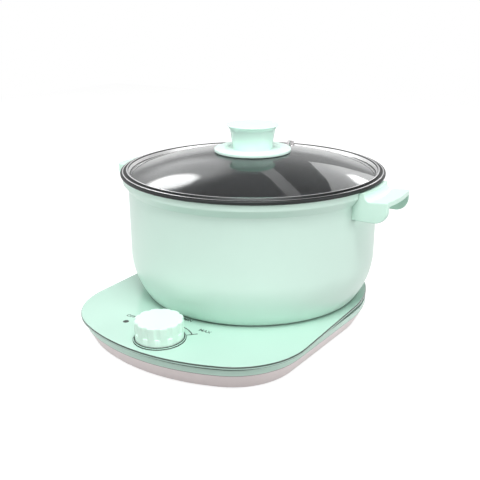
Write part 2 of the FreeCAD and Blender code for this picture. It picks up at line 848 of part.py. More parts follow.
# ---- Fan ----
def fan_housing():
    """Scroll wall round the wheel, open above, with the motor's seat on three spokes."""
    place = fan_place()
    inner = fan_rotor_radius + fan_gap
    z_high = z_fan + fan_height
    z_inside = z_fan + fan_wall
    mouth = turned_block(
        place, fan_mouth_bearing, fan_rotor_radius, inner + fan_wall + past, fan_mouth_width / 2,
        z_inside, z_high + past)
    parts = [
        tube(place, z_fan, z_high, inner + fan_wall, inner).cut(mouth),
        tube(place, z_fan, z_inside, inner + fan_wall, fan_intake_radius),
        rod(place, z_fan, z_inside, fan_hub_radius),
        rod(place, z_fan, z_inside + fan_stem_height, fan_stem_radius),
    ]
    for bearing in (90, 210, 330):
        parts.append(turned_block(
            place, bearing, fan_stem_radius, fan_intake_radius + past, fan_spoke_width / 2,
            z_fan, z_inside))
    return join(parts).cut(rod(place, z_inside, z_high, fan_shaft_radius + run_gap))


def fan_rotor():
    """Hub cup, closed disc above and leaning blades under its rim, on a fixed shaft."""
    place = fan_place()
    z_low = z_fan + fan_wall + fan_floor_gap
    z_high = z_fan + fan_height - fan_top_gap
    z_disc = z_high - fan_disc_thickness
    cup = tube(place, z_low, z_high, fan_hub_radius, fan_hub_radius - fan_hub_wall)
    disc = rod(place, z_disc, z_high, fan_rotor_radius)
    shaft = rod(place, z_fan + fan_wall + fan_shaft_lift, z_high, fan_shaft_radius)
    parts = [cup, disc, shaft]
    for index in range(fan_blades):
        bearing = index * 360 / fan_blades
        root = place + polar(fan_rotor_radius - fan_blade_inset, bearing)
        parts.append(turned_block(
            root, bearing + fan_blade_lean, -fan_blade_depth, 0, fan_blade_thickness / 2, z_low, z_high))
    return join(parts)


# ---- Electronics ----
def power_board():
    x_low, x_high, y_low, y_high = power_board_box()
    board = block(x_low, x_high, y_low, y_high, z_power_board, z_power_board + board_thickness)
    reach = power_board_trim / math.sqrt(2)
    z_high = z_power_board + board_thickness + past
    trim = turned_block(
        Vector(x_high, y_low, 0), -45, -reach, reach, 2 * reach, z_power_board - past, z_high)
    return board.cut(trim)


def on_power_board(x, y, length, depth, height):
    """Block that stands on the power board, placed from the board's lowest corner."""
    x_low, _, y_low, _ = power_board_box()
    z_low = z_power_board + board_thickness
    return block(x_low + x, x_low + x + length, y_low + y, y_low + y + depth, z_low, z_low + height)


def capacitor(index):
    x = board_edge + index * (capacitor_length + part_spacing)
    return on_power_board(x, board_edge, capacitor_length, capacitor_depth, capacitor_height)


def device(index):
    """Power transistor (0) or rectifier (1), flat against the front of the heat sink."""
    x = board_edge + part_spacing + index * (device_length + part_spacing)
    y = power_board_width - board_edge - heat_sink_depth - seat_gap - device_depth
    return on_power_board(x, y, device_length, device_depth, device_height)


def heat_sink():
    y = power_board_width - board_edge - heat_sink_depth
    sink = on_power_board(board_edge, y, heat_sink_length, heat_sink_depth, heat_sink_height)
    box = sink.BoundBox
    pitch = (heat_sink_length - heat_sink_fin) / (heat_sink_fins - 1)
    grooves = []
    for index in range(heat_sink_fins - 1):
        x = box.XMin + heat_sink_fin + index * pitch
        grooves.append(block(
            x, x + pitch - heat_sink_fin, box.YMin + heat_sink_border, box.YMax - heat_sink_border,
            box.ZMin + heat_sink_base, box.ZMax + past))
    return cut_all(sink, grooves)


def choke():
    width = 2 * choke_radius
    x = board_edge + heat_sink_length + part_spacing
    y = power_board_width - board_edge - width
    base = on_power_board(x, y, width, width, choke_base)
    centre = base.BoundBox.Center
    z_low = base.BoundBox.ZMax
    return join([base, tube(centre, z_low, z_low + choke_height, choke_radius, choke_bore)])


def terminal_block():
    x = board_edge + 2 * (capacitor_length + part_spacing)
    y = board_edge + capacitor_depth - terminal_depth
    return on_power_board(x, y, terminal_length, terminal_depth, terminal_height)


def control_board():
    half = control_board_length / 2
    y = dial_y - control_board_width / 2
    return block(-half, half, y, y + control_board_width, z_control_board, z_potentiometer)


def potentiometer():
    """Round body on the control board with a threaded bushing up through the panel."""
    body = rod(dial_place, z_potentiometer, z_potentiometer + potentiometer_height, potentiometer_radius)
    bushing = rod(dial_place, z_potentiometer, z_bushing, bushing_radius)
    z_low = z_potentiometer + potentiometer_floor
    return join([body, bushing]).cut(rod(dial_place, z_low, z_bushing + past, shaft_radius + run_gap))


def dial_nut():
    """Hexagonal nut that clamps the bushing to the floor of the panel's recess."""
    z_high = z_recess + dial_nut_height
    nut = rod(dial_place, z_recess, z_high, dial_nut_width)
    half = dial_nut_width / 2
    for index in range(6):
        nut = nut.cut(turned_block(
            dial_place, index * 60, half, 3 * half, 3 * half, z_recess - past, z_high + past))
    return nut.cut(rod(dial_place, z_recess - past, z_high + past, bushing_radius + thread_gap))


def d_shaft(radius, z_low, z_high, z_round):
    """Round shaft with a flat on its front side above z_round."""
    y = -radius + shaft_flat
    flat = block(-2 * radius, 2 * radius, y - 2 * radius, y, z_round, z_high + past)
    flat.translate(dial_place)
    return rod(dial_place, z_low, z_high, radius).cut(flat)


def dial_shaft():
    z_low = z_potentiometer + potentiometer_floor + slip_gap
    return d_shaft(shaft_radius, z_low, z_hub + shaft_engagement, z_hub - slip_gap)


def dial_ring():
    """Trim ring in the recess, with a raised inner lip round the foot of the knob."""
    inner = dial_radius + dial_gap
    outer = inner + dial_ring_width
    lip = inner + dial_lip_width
    z_ring = z_plate + dial_ring_rise
    z_lip = z_plate + dial_lip_rise
    return turned_at(
        dial_place, (inner, z_recess), (outer, z_recess), (outer, z_ring), (lip, z_ring),
        (lip, z_lip), (inner, z_lip))


def dial_knob():
    """Hollow knob with scallops that run out above a smooth collar."""
    z_low = z_recess + dial_lift
    z_high = z_plate + dial_height
    z_roof = z_high - dial_wall
    edge = dial_edge_radius
    skin = turned_at(
        dial_place, (0.0, z_low), (dial_radius, z_low),
        arc((dial_radius - edge, z_high - edge), edge, 0, 90), (0.0, z_high))
    inside = dial_radius - dial_scallop_depth - dial_wall
    skin = skin.cut(rod(dial_place, z_low - past, z_roof, inside))
    parts = [skin, rod(dial_place, z_hub, z_high - dial_wall / 2, dial_hub_radius)]
    for bearing in (0, 90):
        parts.append(turned_block(
            dial_place, bearing, -inside - dial_wall / 2, inside + dial_wall / 2, dial_web / 2,
            z_hub + dial_web_rise, z_high - dial_wall / 2))
    cuts = []
    centre = dial_radius - dial_scallop_depth + dial_scallop_radius
    for index in range(dial_scallops):
        place = dial_place + polar(centre, dial_scallop_phase + index * 360 / dial_scallops)
        cuts.append(rod(place, z_plate + dial_collar_height, z_high + past, dial_scallop_radius))
    bore = shaft_radius + run_gap
    cuts.append(d_shaft(bore, z_hub - past, z_hub + shaft_engagement + slip_gap, z_hub - 2 * past))
    return cut_all(join(parts), cuts)


# ---- Pot ----
def wall_line(offset):
    """Corner, wall, flare and collar as arcs, upwards, moved in from the outer face by offset."""
    tilt = math.atan2(pot_flare, pot_flare_height)
    crease = flare_crease_radius
    crown = flare_crown_radius
    z_low = z_crease - crease * math.tan(tilt / 2)
    z_high = z_collar + crown * math.tan(tilt / 2)
    bend = math.degrees(tilt)
    corner = (pot_wall_radius - pot_corner_radius, z_plate + pot_corner_rise)
    return [
        (corner, pot_corner_radius - offset, corner_start(offset), 0),
        ((pot_wall_radius + crease, z_low), crease + offset, 180, 180 - bend),
        ((collar_radius - crown, z_high), crown - offset, -bend, 0),
    ]


def corner_start(offset):
    """Angle where the corner's arc meets the bevelled foot, or the pot's inner floor."""
    level = pot_floor if offset > 0 else pot_foot_bevel_rise
    return -math.degrees(math.asin((pot_corner_rise - level) / (pot_corner_radius - offset)))


def foot_radius_of_pot():
    """Radius of the flat underside."""
    start = math.radians(corner_start(0.0))
    corner_x_low = pot_wall_radius - pot_corner_radius + pot_corner_radius * math.cos(start)
    return corner_x_low - pot_foot_bevel_run


def pot_body():
    """Cast pot: flat underside, large round corner, straight wall, flared collar, flat rim."""
    edge = rim_edge_radius
    outer = [arc(*numbers) for numbers in wall_line(0.0)]
    inner = [arc(centre, radius, end, start) for centre, radius, start, end in wall_line(pot_wall)]
    pot = turned(
        (0.0, z_plate), (foot_radius_of_pot(), z_plate), *outer,
        arc((collar_radius - edge, z_rim - edge), edge, 0, 90),
        arc((collar_inner + edge, z_rim - edge), edge, 90, 180),
        *inner[::-1], (0.0, z_plate + pot_floor))
    recess = rod(AXIS, z_plate - past, z_plate + disc_thickness, disc_radius() + seat_gap)
    return pot.cut(recess)


def disc_radius():
    return foot_radius_of_pot() - disc_margin


def induction_disc():
    return rod(AXIS, z_plate, z_plate + disc_thickness, disc_radius())


def pot_envelope(growth):
    """Solid that fills the pot's outer form, grown by a clearance, to cut its neighbours."""
    edges = [arc(*numbers) for numbers in wall_line(-growth)]
    foot = ends(edges[0])[0]
    return turned(
        (0.0, z_plate), (foot[0], z_plate), *edges,
        (collar_radius + growth, z_rim + past), (0.0, z_rim + past))


# ---- Handles ----
def handle_right():
    """Hood open outwards and below: back plate on the pot, thin top and two rounded cheeks.

    The outer face runs round the pot's axis, and the top rises towards it."""
    corner = handle_corner_radius
    root = pot_wall_radius - handle_root
    z_back = z_rim - handle_lid_gap
    blank = turned(
        (root, z_handle_low), arc((lip_x - corner, z_handle_low + corner), corner, -90, 0),
        (lip_x, z_back), (root, z_back))
    width = handle_half_width
    hood = blank.common(block(0, lip_x + past, -width, width, z_handle_low - past, z_rim))
    fillet = handle_fillet
    centre = (back_face + fillet, z_handle_top + fillet)
    tilt = math.radians(handle_top_tilt)
    outside = lip_x + past
    z_outside = centre[1] - fillet / math.cos(tilt) + (outside - centre[0]) * math.tan(tilt)
    hollow = turned(
        (back_face, z_rim), arc(centre, fillet, 180, 270 + handle_top_tilt),
        (outside, z_outside), (outside, z_rim))
    hood = hood.cut(hollow)
    hood = hood.makeFillet(handle_cheek_round, [edge for edge in hood.Edges if is_cheek_edge(edge)])
    return cut_all(hood, [finger_space(), pot_envelope(handle_seat_gap)] + bracket_room())


def is_cheek_edge(edge):
    """Edges that run round the outside of either cheek, away from the pot."""
    box = edge.BoundBox
    on_cheek = box.YLength < tiny and abs(abs(box.YMin) - handle_half_width) < tiny
    return on_cheek and box.XMax > collar_radius and box.XMin > pot_wall_radius - handle_root + tiny


def finger_space():
    """Space under the top and between the cheeks, with a round inner face."""
    inner = handle_half_width - handle_cheek
    z_low = z_handle_low - past
    z_ceiling = z_handle_top - handle_top_thickness
    outside = 2 * lip_x
    ring = turned((grip_face, z_low), (outside, z_low), (outside, z_ceiling), (grip_face, z_ceiling))
    return ring.common(block(0, outside, -inner, inner, z_low, z_ceiling))


def bracket_room():
    """Room in the handle for the bracket, its two bosses and the two screws."""
    rooms = [bracket_plate(slip_gap)]
    for y in (-handle_screw_spread, handle_screw_spread):
        rooms.append(bar_x(y, pot_wall_radius, boss_end + slip_gap, bracket_boss_radius + slip_gap))
        rooms.append(bar_x(y, pot_wall_radius, grip_face + past, handle_screw_radius + screw_gap))
    return rooms


def bar_x(y, x_low, x_high, radius):
    """Round bar along X at the height of the bracket's middle."""
    start = Vector(x_low, y, z_bracket + bracket_height / 2)
    return Part.makeCylinder(radius, x_high - x_low, start, ACROSS)


def bracket_plate(growth):
    """Curved plate that lies on the straight wall of the pot behind the handle."""
    inner = pot_wall_radius + seat_gap - growth
    outer = pot_wall_radius + seat_gap + bracket_thickness + growth
    z_low = z_bracket - growth
    z_high = z_bracket + bracket_height + growth
    half = bracket_half_width + growth
    return tube(AXIS, z_low, z_high, outer, inner).common(block(0, outer, -half, half, z_low, z_high))


def handle_bracket_right():
    root = pot_wall_radius + seat_gap + bracket_thickness / 2
    parts = [bracket_plate(0.0)]
    holes = []
    for y in (-handle_screw_spread, handle_screw_spread):
        parts.append(bar_x(y, root, boss_end, bracket_boss_radius))
        holes.append(bar_x(y, root, boss_end + past, handle_screw_radius))
    return cut_all(join(parts), holes)


def handle_screws_right():
    """Two screws whose heads lie on the inner face of the finger space."""
    under_head = grip_face + seat_gap
    end = under_head + handle_screw_head_height
    screws = []
    for y in (-handle_screw_spread, handle_screw_spread):
        shank = bar_x(y, boss_end - handle_screw_bite, under_head, handle_screw_radius - thread_gap)
        head = bar_x(y, under_head, end, handle_screw_head)
        socket = bar_x(y, end - handle_screw_head_height / 2, end + past, handle_screw_socket)
        screws.append(join([head, shank]).cut(socket))
    return screws


def handle_screws():
    screws = handle_screws_right()
    return Part.makeCompound(screws + [mirrored(screw) for screw in screws])


def mirrored(shape):
    return shape.mirror(AXIS, ACROSS)


# ---- Lid: glass and band ----
def dome(radius, depth=0.0):
    """Height of the glass at a radius, on its outer face or on a sphere inside it by depth."""
    return z_dome_centre + math.sqrt((dome_radius - depth) ** 2 - radius ** 2)


def dome_arc(depth, start, end):
    """Arc of the dome from one radius to another."""
    points = [Vector(r, 0, dome(r, depth)) for r in (start, (start + end) / 2, end)]
    return Part.Arc(*points).toShape()


def at_vent(shape):
    """Carry a shape drawn on the dome's centre line to the steam vent, square to the glass."""
    shape.rotate(AXIS, ALONG, math.degrees(math.asin(vent_distance / dome_radius)))
    shape.rotate(AXIS, UP, vent_bearing)
    shape.translate(Vector(0, 0, z_dome_centre))
    return shape


def lid_glass():
    """Domed disc of one thickness, with a hole for the knob and one for the vent."""
    hole = seat_hub_radius + slip_gap
    glass = turned(dome_arc(0.0, hole, glass_radius), dome_arc(glass_thickness, glass_radius, hole))
    z_low = dome_radius - glass_thickness - past
    return glass.cut(at_vent(rod(AXIS, z_low, dome_radius + past, vent_hole_radius)))


def lid_band():
    """Strip rolled into a hook under the glass, a seat on the rim, a bead and a raised ridge."""
    half = band_gauge / 2
    lip = lip_radius - half
    outer = band_radius - half
    ridge_low = ridge_inner + half
    ridge_high = ridge_inner + band_ridge_width - half
    ridge_foot = ridge_low - band_ridge_fall
    z_hook = dome(glass_radius, glass_thickness) - seat_gap - half
    z_shoulder = z_rim + band_shoulder_height - half
    z_ridge = z_rim + band_ridge_height - half
    path = [
        (glass_radius - band_hook, z_hook, 0.0),
        (lip, z_hook, band_seat_bend),
        (lip, z_rim + half, band_seat_bend),
        (outer, z_rim + half, band_bead_bend),
        (outer, z_shoulder, band_shoulder_bend),
        (ridge_high + band_ridge_slope, z_shoulder + band_valley_rise, band_shoulder_bend),
        (ridge_high, z_ridge, band_ridge_bend),
        (ridge_low, z_ridge, band_ridge_bend),
        (ridge_foot, dome(ridge_foot) + seat_gap + half, 0.0),
    ]
    return turned(*sheet(path, band_gauge))


def vent_grommet():
    """Steel eyelet rolled over both faces of the glass, tilted with the dome."""
    under = dome_radius - glass_thickness - seat_gap
    over = dome_radius + seat_gap
    body = vent_hole_radius - seat_gap
    flange = vent_flange_radius
    top = dome_radius + vent_rise
    bevel = vent_flange_thickness / 2
    return at_vent(turned(
        (vent_bore_radius, under - vent_flange_thickness), (flange, under - vent_flange_thickness),
        (flange, under), (body, under), (body, over), (flange, over),
        (flange, over + vent_flange_thickness), (vent_collar_radius, over + vent_flange_thickness),
        (vent_collar_radius, top - bevel), (vent_collar_radius - bevel, top), (vent_bore_radius, top)))


# ---- Lid: knob and its seat ----
def knob_seat():
    """Saucer that spreads the knob's load, dished round the knob, with a hub in the glass."""
    hole = knob_screw_radius + screw_gap
    half = seat_edge / 2
    z_hub = dome(seat_hub_radius, glass_thickness) + seat_hub_clear
    return turned(
        (hole, z_seat_dish), (seat_dish_radius, z_seat_dish), (seat_dish_radius + seat_dish_slope, z_seat),
        arc((seat_radius - half, z_seat - half), half, 90, -90),
        dome_arc(-seat_gap, seat_contact_radius, seat_hub_radius), (seat_hub_radius, z_hub), (hole, z_hub))


def lid_knob():
    """Cup-shaped knob: round foot, leaning neck, flared rim and a dished top."""
    edge = knob_edge_radius
    neck_lean = (knob_neck_radius - knob_foot_radius, z_knob_neck - z_seat_dish)
    flare = arc_from((knob_neck_radius, z_knob_neck), neck_lean, (knob_top_radius, z_knob - edge))
    dish_edge = knob_top_radius - knob_rim_width
    sphere = (dish_edge ** 2 + knob_dish ** 2) / (2 * knob_dish)
    z_dish = z_knob - knob_dish
    dish_start = math.degrees(math.asin(dish_edge / sphere)) - 90
    knob = turned(
        (0.0, z_seat_dish), (knob_foot_radius, z_seat_dish), flare,
        arc((knob_top_radius - edge, z_knob - edge), edge, 0, 90),
        arc((0.0, z_dish + sphere), sphere, dish_start, -90))
    z_roof = z_dish - knob_wall
    foot_inside = knob_foot_radius - knob_wall
    neck_inside = knob_neck_radius - knob_wall
    hollow = turned(
        (knob_boss_radius, z_seat_dish - past), (foot_inside, z_seat_dish - past),
        (foot_inside, z_seat_dish), (neck_inside, z_knob_neck), (neck_inside, z_roof),
        (knob_boss_radius, z_roof))
    z_hole = z_seat_dish + knob_screw_engagement + screw_hole_spare
    return knob.cut(hollow).cut(rod(AXIS, z_seat_dish - past, z_hole, knob_screw_radius))


def washer_top():
    """The flat washer touches the hollow side of the glass along its own edge."""
    return dome(washer_radius, glass_thickness) - seat_gap


def knob_washer():
    z_high = washer_top()
    return tube(AXIS, z_high - washer_thickness, z_high, washer_radius, knob_screw_radius + screw_gap)


def knob_screw():
    z_head_top = washer_top() - washer_thickness
    z_head = z_head_top - knob_screw_head_height
    head = rod(AXIS, z_head, z_head_top, knob_screw_head_radius)
    shank = rod(AXIS, z_head_top, z_seat_dish + knob_screw_engagement, knob_screw_radius - thread_gap)
    reach = knob_screw_head_radius - past
    cross = []
    for bearing in (0, 90):
        cross.append(turned_block(
            AXIS, bearing, -reach, reach, knob_screw_slot / 2, z_head - past,
            z_head + knob_screw_head_height / 2))
    return cut_all(join([head, shank]), cross)


# ---- Everything, node by node ----
def build():
    nodes = {
        "top_panel": top_panel(),
        "panel_gasket": panel_gasket(),
        "upper_shell": upper_shell(),
        "lower_shell": lower_shell(),
        "feet": feet(),
        "case_screws": case_screws(),
        "cord_gland": cord_gland(),
        "coil_carrier": coil_carrier(),
        "induction_coil": induction_coil(),
        "ferrite_bars": Part.makeCompound(ferrite_boxes(0.0)),
        "mica_sheet": mica_sheet(),
        "temperature_sensor": temperature_sensor(),
        "carrier_screws": carrier_screws(),
        "fan_housing": fan_housing(),
        "fan_rotor": fan_rotor(),
        "power_board": power_board(),
        "heat_sink": heat_sink(),
        "power_transistor": device(0),
        "bridge_rectifier": device(1),
        "filter_capacitors": Part.makeCompound([capacitor(0), capacitor(1)]),
        "choke": choke(),
        "terminal_block": terminal_block(),
        "control_board": control_board(),
        "potentiometer": potentiometer(),
        "dial_nut": dial_nut(),
        "dial_shaft": dial_shaft(),
        "dial_ring": dial_ring(),
        "dial_knob": dial_knob(),
        "pot_body": pot_body(),
        "induction_disc": induction_disc(),
        "handle_right": handle_right(),
        "handle_left": mirrored(handle_right()),
        "handle_bracket_right": handle_bracket_right(),
        "handle_bracket_left": mirrored(handle_bracket_right()),
        "handle_screws": handle_screws(),
        "lid_glass": lid_glass(),
        "lid_band": lid_band(),
        "vent_grommet": vent_grommet(),
        "knob_seat": knob_seat(),
        "lid_knob": lid_knob(),
        "knob_washer": knob_washer(),
        "knob_screw": knob_screw(),
    }
    os.makedirs("parts", exist_ok=True)
    for name, shape in nodes.items():
        save(name, shape)


build()
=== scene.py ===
"""Electric hot pot on an induction base: looks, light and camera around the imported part.

Metres, in the same frame as the CAD. The file follows the object as it is put together:
base housing, what lies inside it, dial, pot, handles, lid, then the studio round it.
"""

import math

import bmesh
import bpy
import numpy as np
from mathutils import Matrix, Vector


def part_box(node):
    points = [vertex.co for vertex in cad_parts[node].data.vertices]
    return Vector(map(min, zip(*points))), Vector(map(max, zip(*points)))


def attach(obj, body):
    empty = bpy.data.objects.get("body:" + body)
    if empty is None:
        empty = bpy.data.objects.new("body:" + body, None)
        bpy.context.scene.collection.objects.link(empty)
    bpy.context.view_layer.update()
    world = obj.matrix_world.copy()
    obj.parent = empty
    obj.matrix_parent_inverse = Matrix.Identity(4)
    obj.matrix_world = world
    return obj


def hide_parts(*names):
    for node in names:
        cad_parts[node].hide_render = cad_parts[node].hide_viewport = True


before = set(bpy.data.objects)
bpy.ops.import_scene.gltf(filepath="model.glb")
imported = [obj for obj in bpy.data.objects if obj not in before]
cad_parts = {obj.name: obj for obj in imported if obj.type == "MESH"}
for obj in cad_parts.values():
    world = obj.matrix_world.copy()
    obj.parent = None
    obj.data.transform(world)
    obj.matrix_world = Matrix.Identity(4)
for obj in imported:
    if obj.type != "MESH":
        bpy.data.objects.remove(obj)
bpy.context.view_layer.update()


# ---- Lower shell ----
# Tapered tray under the base, one moulding in warm grey ABS, held by six screws from below.
# Its spark-eroded skin takes the shine off and spreads the light into a soft, slightly uneven
# grey. A dark line of painted shade runs along the joint with the shell above.
MM = 0.001
PLASTIC_IOR = 1.53
CLOUD = 35.0 * MM
JOINT_LEVEL = 17.1 * MM
JOINT_WIDTH = 0.6 * MM
JOINT_BLUR = 0.1 * MM
# Sockets of a colour mix: its share, its two colours, and what comes out.
SHARE, FIRST, SECOND, MIXED = 0, 6, 7, 2


def colour(hex_code, alpha=1.0):
    """Linear RGBA of an sRGB hex code: the low end divided by 12.92, the rest a power curve."""
    parts = np.array([int(hex_code[i:i + 2], 16) for i in (0, 2, 4)]) / 255.0
    linear = np.where(parts <= 0.04045, parts / 12.92, ((parts + 0.055) / 1.055) ** 2.4)
    return (*linear.tolist(), alpha)


def feed(tree, node, inputs):
    """Fills a node's inputs: each is a value, or another node's output that is linked."""
    for name, value in dict(inputs).items():
        if isinstance(value, bpy.types.NodeSocket):
            tree.links.new(value, node.inputs[name])
        else:
            node.inputs[name].default_value = value


def add(tree, kind, inputs=(), **settings):
    """One shader node with its settings and its inputs."""
    node = tree.nodes.new("ShaderNode" + kind)
    for name, value in settings.items():
        setattr(node, name, value)
    feed(tree, node, inputs)
    return node


def new_material(name):
    """Empty material with a surface shader and its output, and the Object coordinates."""
    made = bpy.data.materials.new(name)
    made.use_nodes = True
    tree = made.node_tree
    tree.nodes.clear()
    shader = add(tree, "BsdfPrincipled")
    add(tree, "OutputMaterial", {"Surface": shader.outputs["BSDF"]})
    return made, tree, shader, add(tree, "TexCoord").outputs["Object"]


def moulded_plastic(name, light, shade, grain, depth, roughness):
    """Moulded plastic: a cloudy drift between two close colours, and a grain in the skin.

    The grain is the width of the texture and the depth how deep it is pressed. A real tool's
    grain is about 0.1 mm, too fine to show, so it is drawn coarser. The skin is a little
    glossier than its mean in the hollows, and a little duller on top."""
    glossier, duller = 0.04, 0.06
    made, tree, shader, place = new_material(name)
    drift = add(tree, "TexNoise", {"Vector": place, "Scale": 1 / CLOUD, "Detail": 3.0})
    mixed = add(tree, "Mix", {
        SHARE: drift.outputs["Fac"], FIRST: colour(shade), SECOND: colour(light)}, data_type="RGBA")
    skin = add(tree, "TexNoise", {"Vector": place, "Scale": 1 / grain, "Detail": 2.0})
    rough = add(tree, "MapRange", {
        "Value": skin.outputs["Fac"], "To Min": roughness - glossier, "To Max": roughness + duller})
    bump = add(tree, "Bump", {"Height": skin.outputs["Fac"], "Strength": 1.0, "Distance": depth})
    feed(tree, shader, {
        "Base Color": mixed.outputs[MIXED], "Roughness": rough.outputs["Result"],
        "Normal": bump.outputs["Normal"], "IOR": PLASTIC_IOR})
    return made


def dress(finish, *nodes):
    """Gives CAD nodes a finish, in the slot that each already has."""
    for node in nodes:
        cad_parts[node].data.materials[0] = finish


def joint_line(made, level, dark):
    """Painted shade: darkens a finish from just below a level upwards, as the shadow in a joint."""
    tree = made.node_tree
    base = next(n for n in tree.nodes if n.type == "BSDF_PRINCIPLED").inputs["Base Color"]
    height = add(tree, "SeparateXYZ", {"Vector": add(tree, "TexCoord").outputs["Object"]})
    near = add(tree, "MapRange", {
        "Value": height.outputs["Z"], "From Min": level - JOINT_WIDTH - JOINT_BLUR,
        "From Max": level - JOINT_WIDTH})
    mixed = add(tree, "Mix", {
        SHARE: near.outputs["Result"], FIRST: base.links[0].from_socket,
        SECOND: colour(dark)}, data_type="RGBA")
    tree.links.new(mixed.outputs[MIXED], base)


grey_abs = moulded_plastic("abs_warm_grey_eroded", "F4E9E8", "EDE2E1", 0.9 * MM, 0.02 * MM, 0.42)
# The dark line at the top of the tray is painted shade for the joint.
joint_line(grey_abs, JOINT_LEVEL, "857C7A")
dress(grey_abs, "lower_shell")


# ---- Feet ----
# Four round pads of moulded black rubber, pressed into recesses of the tray.
# Rubber is matt and never quite even: dust and talc leave it a little greyer in patches.
black_rubber = moulded_plastic("rubber_black_matt", "2A2A2B", "1E1E1F", 0.6 * MM, 0.03 * MM, 0.78)
dress(black_rubber, "feet")


# ---- Upper shell ----
# Mint band and deck, one moulding in gloss ABS, with small soft edges from the tool.
# A polished tool gives a smooth skin that shows the room as a blurred shine. Its colour is
# painted a slightly deeper mint than the pot's enamel, as shade under the panel's overhang.
SHARP = math.radians(32)
SHELL_EDGE = 0.35 * MM
# The band's deeper mint is painted shade.
band_abs = moulded_plastic("abs_mint_gloss_band_shaded", "CBEADC", "C5E5D7", 2.5 * MM, 0.006 * MM, 0.24)


def finish_mesh(mesh, *finishes):
    """Merges seams and poles, turns the faces outwards, and shades smooth up to sharp edges."""
    shape = bmesh.new()
    shape.from_mesh(mesh)
    bmesh.ops.remove_doubles(shape, verts=shape.verts, dist=0.001 * MM)
    bmesh.ops.recalc_face_normals(shape, faces=shape.faces)
    shape.to_mesh(mesh)
    shape.free()
    mesh.shade_smooth()
    mesh.set_sharp_from_angle(angle=SHARP)
    mesh.materials.clear()
    for finish in finishes:
        mesh.materials.append(finish)


def place_piece(name, mesh, body, slot, *nodes):
    """Puts a finished mesh on a body, in place of the CAD nodes that it stands for."""
    piece = bpy.data.objects.new(name, mesh)
    bpy.context.scene.collection.objects.link(piece)
    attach(piece, body)
    if nodes:
        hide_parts(*nodes)
    return piece


def softened(node, name, body, slot, finish, width):
    """Copy of a node with its hard edges rounded, as a mould leaves them."""
    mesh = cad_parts[node].data.copy()
    normals = mesh.attributes.get("custom_normal")
    if normals:
        mesh.attributes.remove(normals)
    finish_mesh(mesh, finish)
    piece = place_piece(name, mesh, body, slot, node)
    bevel = piece.modifiers.new("soft edges", "BEVEL")
    bevel.width = width
    bevel.segments = 3
    bevel.angle_limit = SHARP
    bevel.harden_normals = True


softened("upper_shell", "upper_shell_band", "base", "mint_plastic", band_abs, SHELL_EDGE)


# ---- Case screws, carrier screws, handle screws and lid screw ----
# Small steel screws with a zinc plating, turned and rolled, a little duller than bare steel.
# The plating is crystalline, so the shine breaks up in fine patches.
def plated_metal(name, light, shade, grain, roughness):
    """Plated, cast or sintered: patches of two close colours, and of roughness.

    Real crystals are too small to show, so the patches are drawn about a millimetre wide."""
    glossier, duller = 0.06, 0.08
    made, tree, shader, place = new_material(name)
    patch = add(tree, "TexVoronoi", {"Vector": place, "Scale": 1 / grain})
    mixed = add(tree, "Mix", {
        SHARE: patch.outputs["Distance"], FIRST: colour(shade), SECOND: colour(light)},
        data_type="RGBA")
    rough = add(tree, "MapRange", {
        "Value": patch.outputs["Distance"], "To Min": roughness - glossier,
        "To Max": roughness + duller})
    feed(tree, shader, {
        "Base Color": mixed.outputs[MIXED], "Roughness": rough.outputs["Result"], "Metallic": 1.0})
    return made


zinc_steel = plated_metal("steel_zinc_plated", "B9BDC2", "A6AAB0", 0.8 * MM, 0.32)
dress(zinc_steel, "case_screws", "carrier_screws", "handle_screws", "knob_screw")


# ---- Panel gasket and cord gland ----
# Flat seal of black silicone rubber under the panel, and a black polyamide bush for the cord.
# Both are dark and dull; the gasket reads as the shadow line under the panel.
black_nylon = moulded_plastic("polyamide_black", "232425", "1B1C1D", 1.1 * MM, 0.02 * MM, 0.45)
dress(black_rubber, "panel_gasket")
dress(black_nylon, "cord_gland")


# ---- Top panel ----
# Plate that the pot stands on: tempered glass printed mint on its back, laid on the gasket.
# The front face is smooth glass, so it mirrors the pot and goes pale at a low angle. The
# ground edge lets no print through; the dark and pale bands down it are painted shade lines.
PANEL_CLOUD = 60.0 * MM
PANEL_SMEAR = 20.0 * MM
PANEL_EDGE = 3.0 * MM
GLASS_IOR = 1.52


def set_stops(ramp, stops):
    """Colours of a ramp, from pairs of position and hex code in rising order."""
    first, last = ramp.elements
    first.position, first.color = stops[0][0], colour(stops[0][1])
    last.position, last.color = stops[-1][0], colour(stops[-1][1])
    for position, code in stops[1:-1]:
        ramp.elements.new(position).color = colour(code)


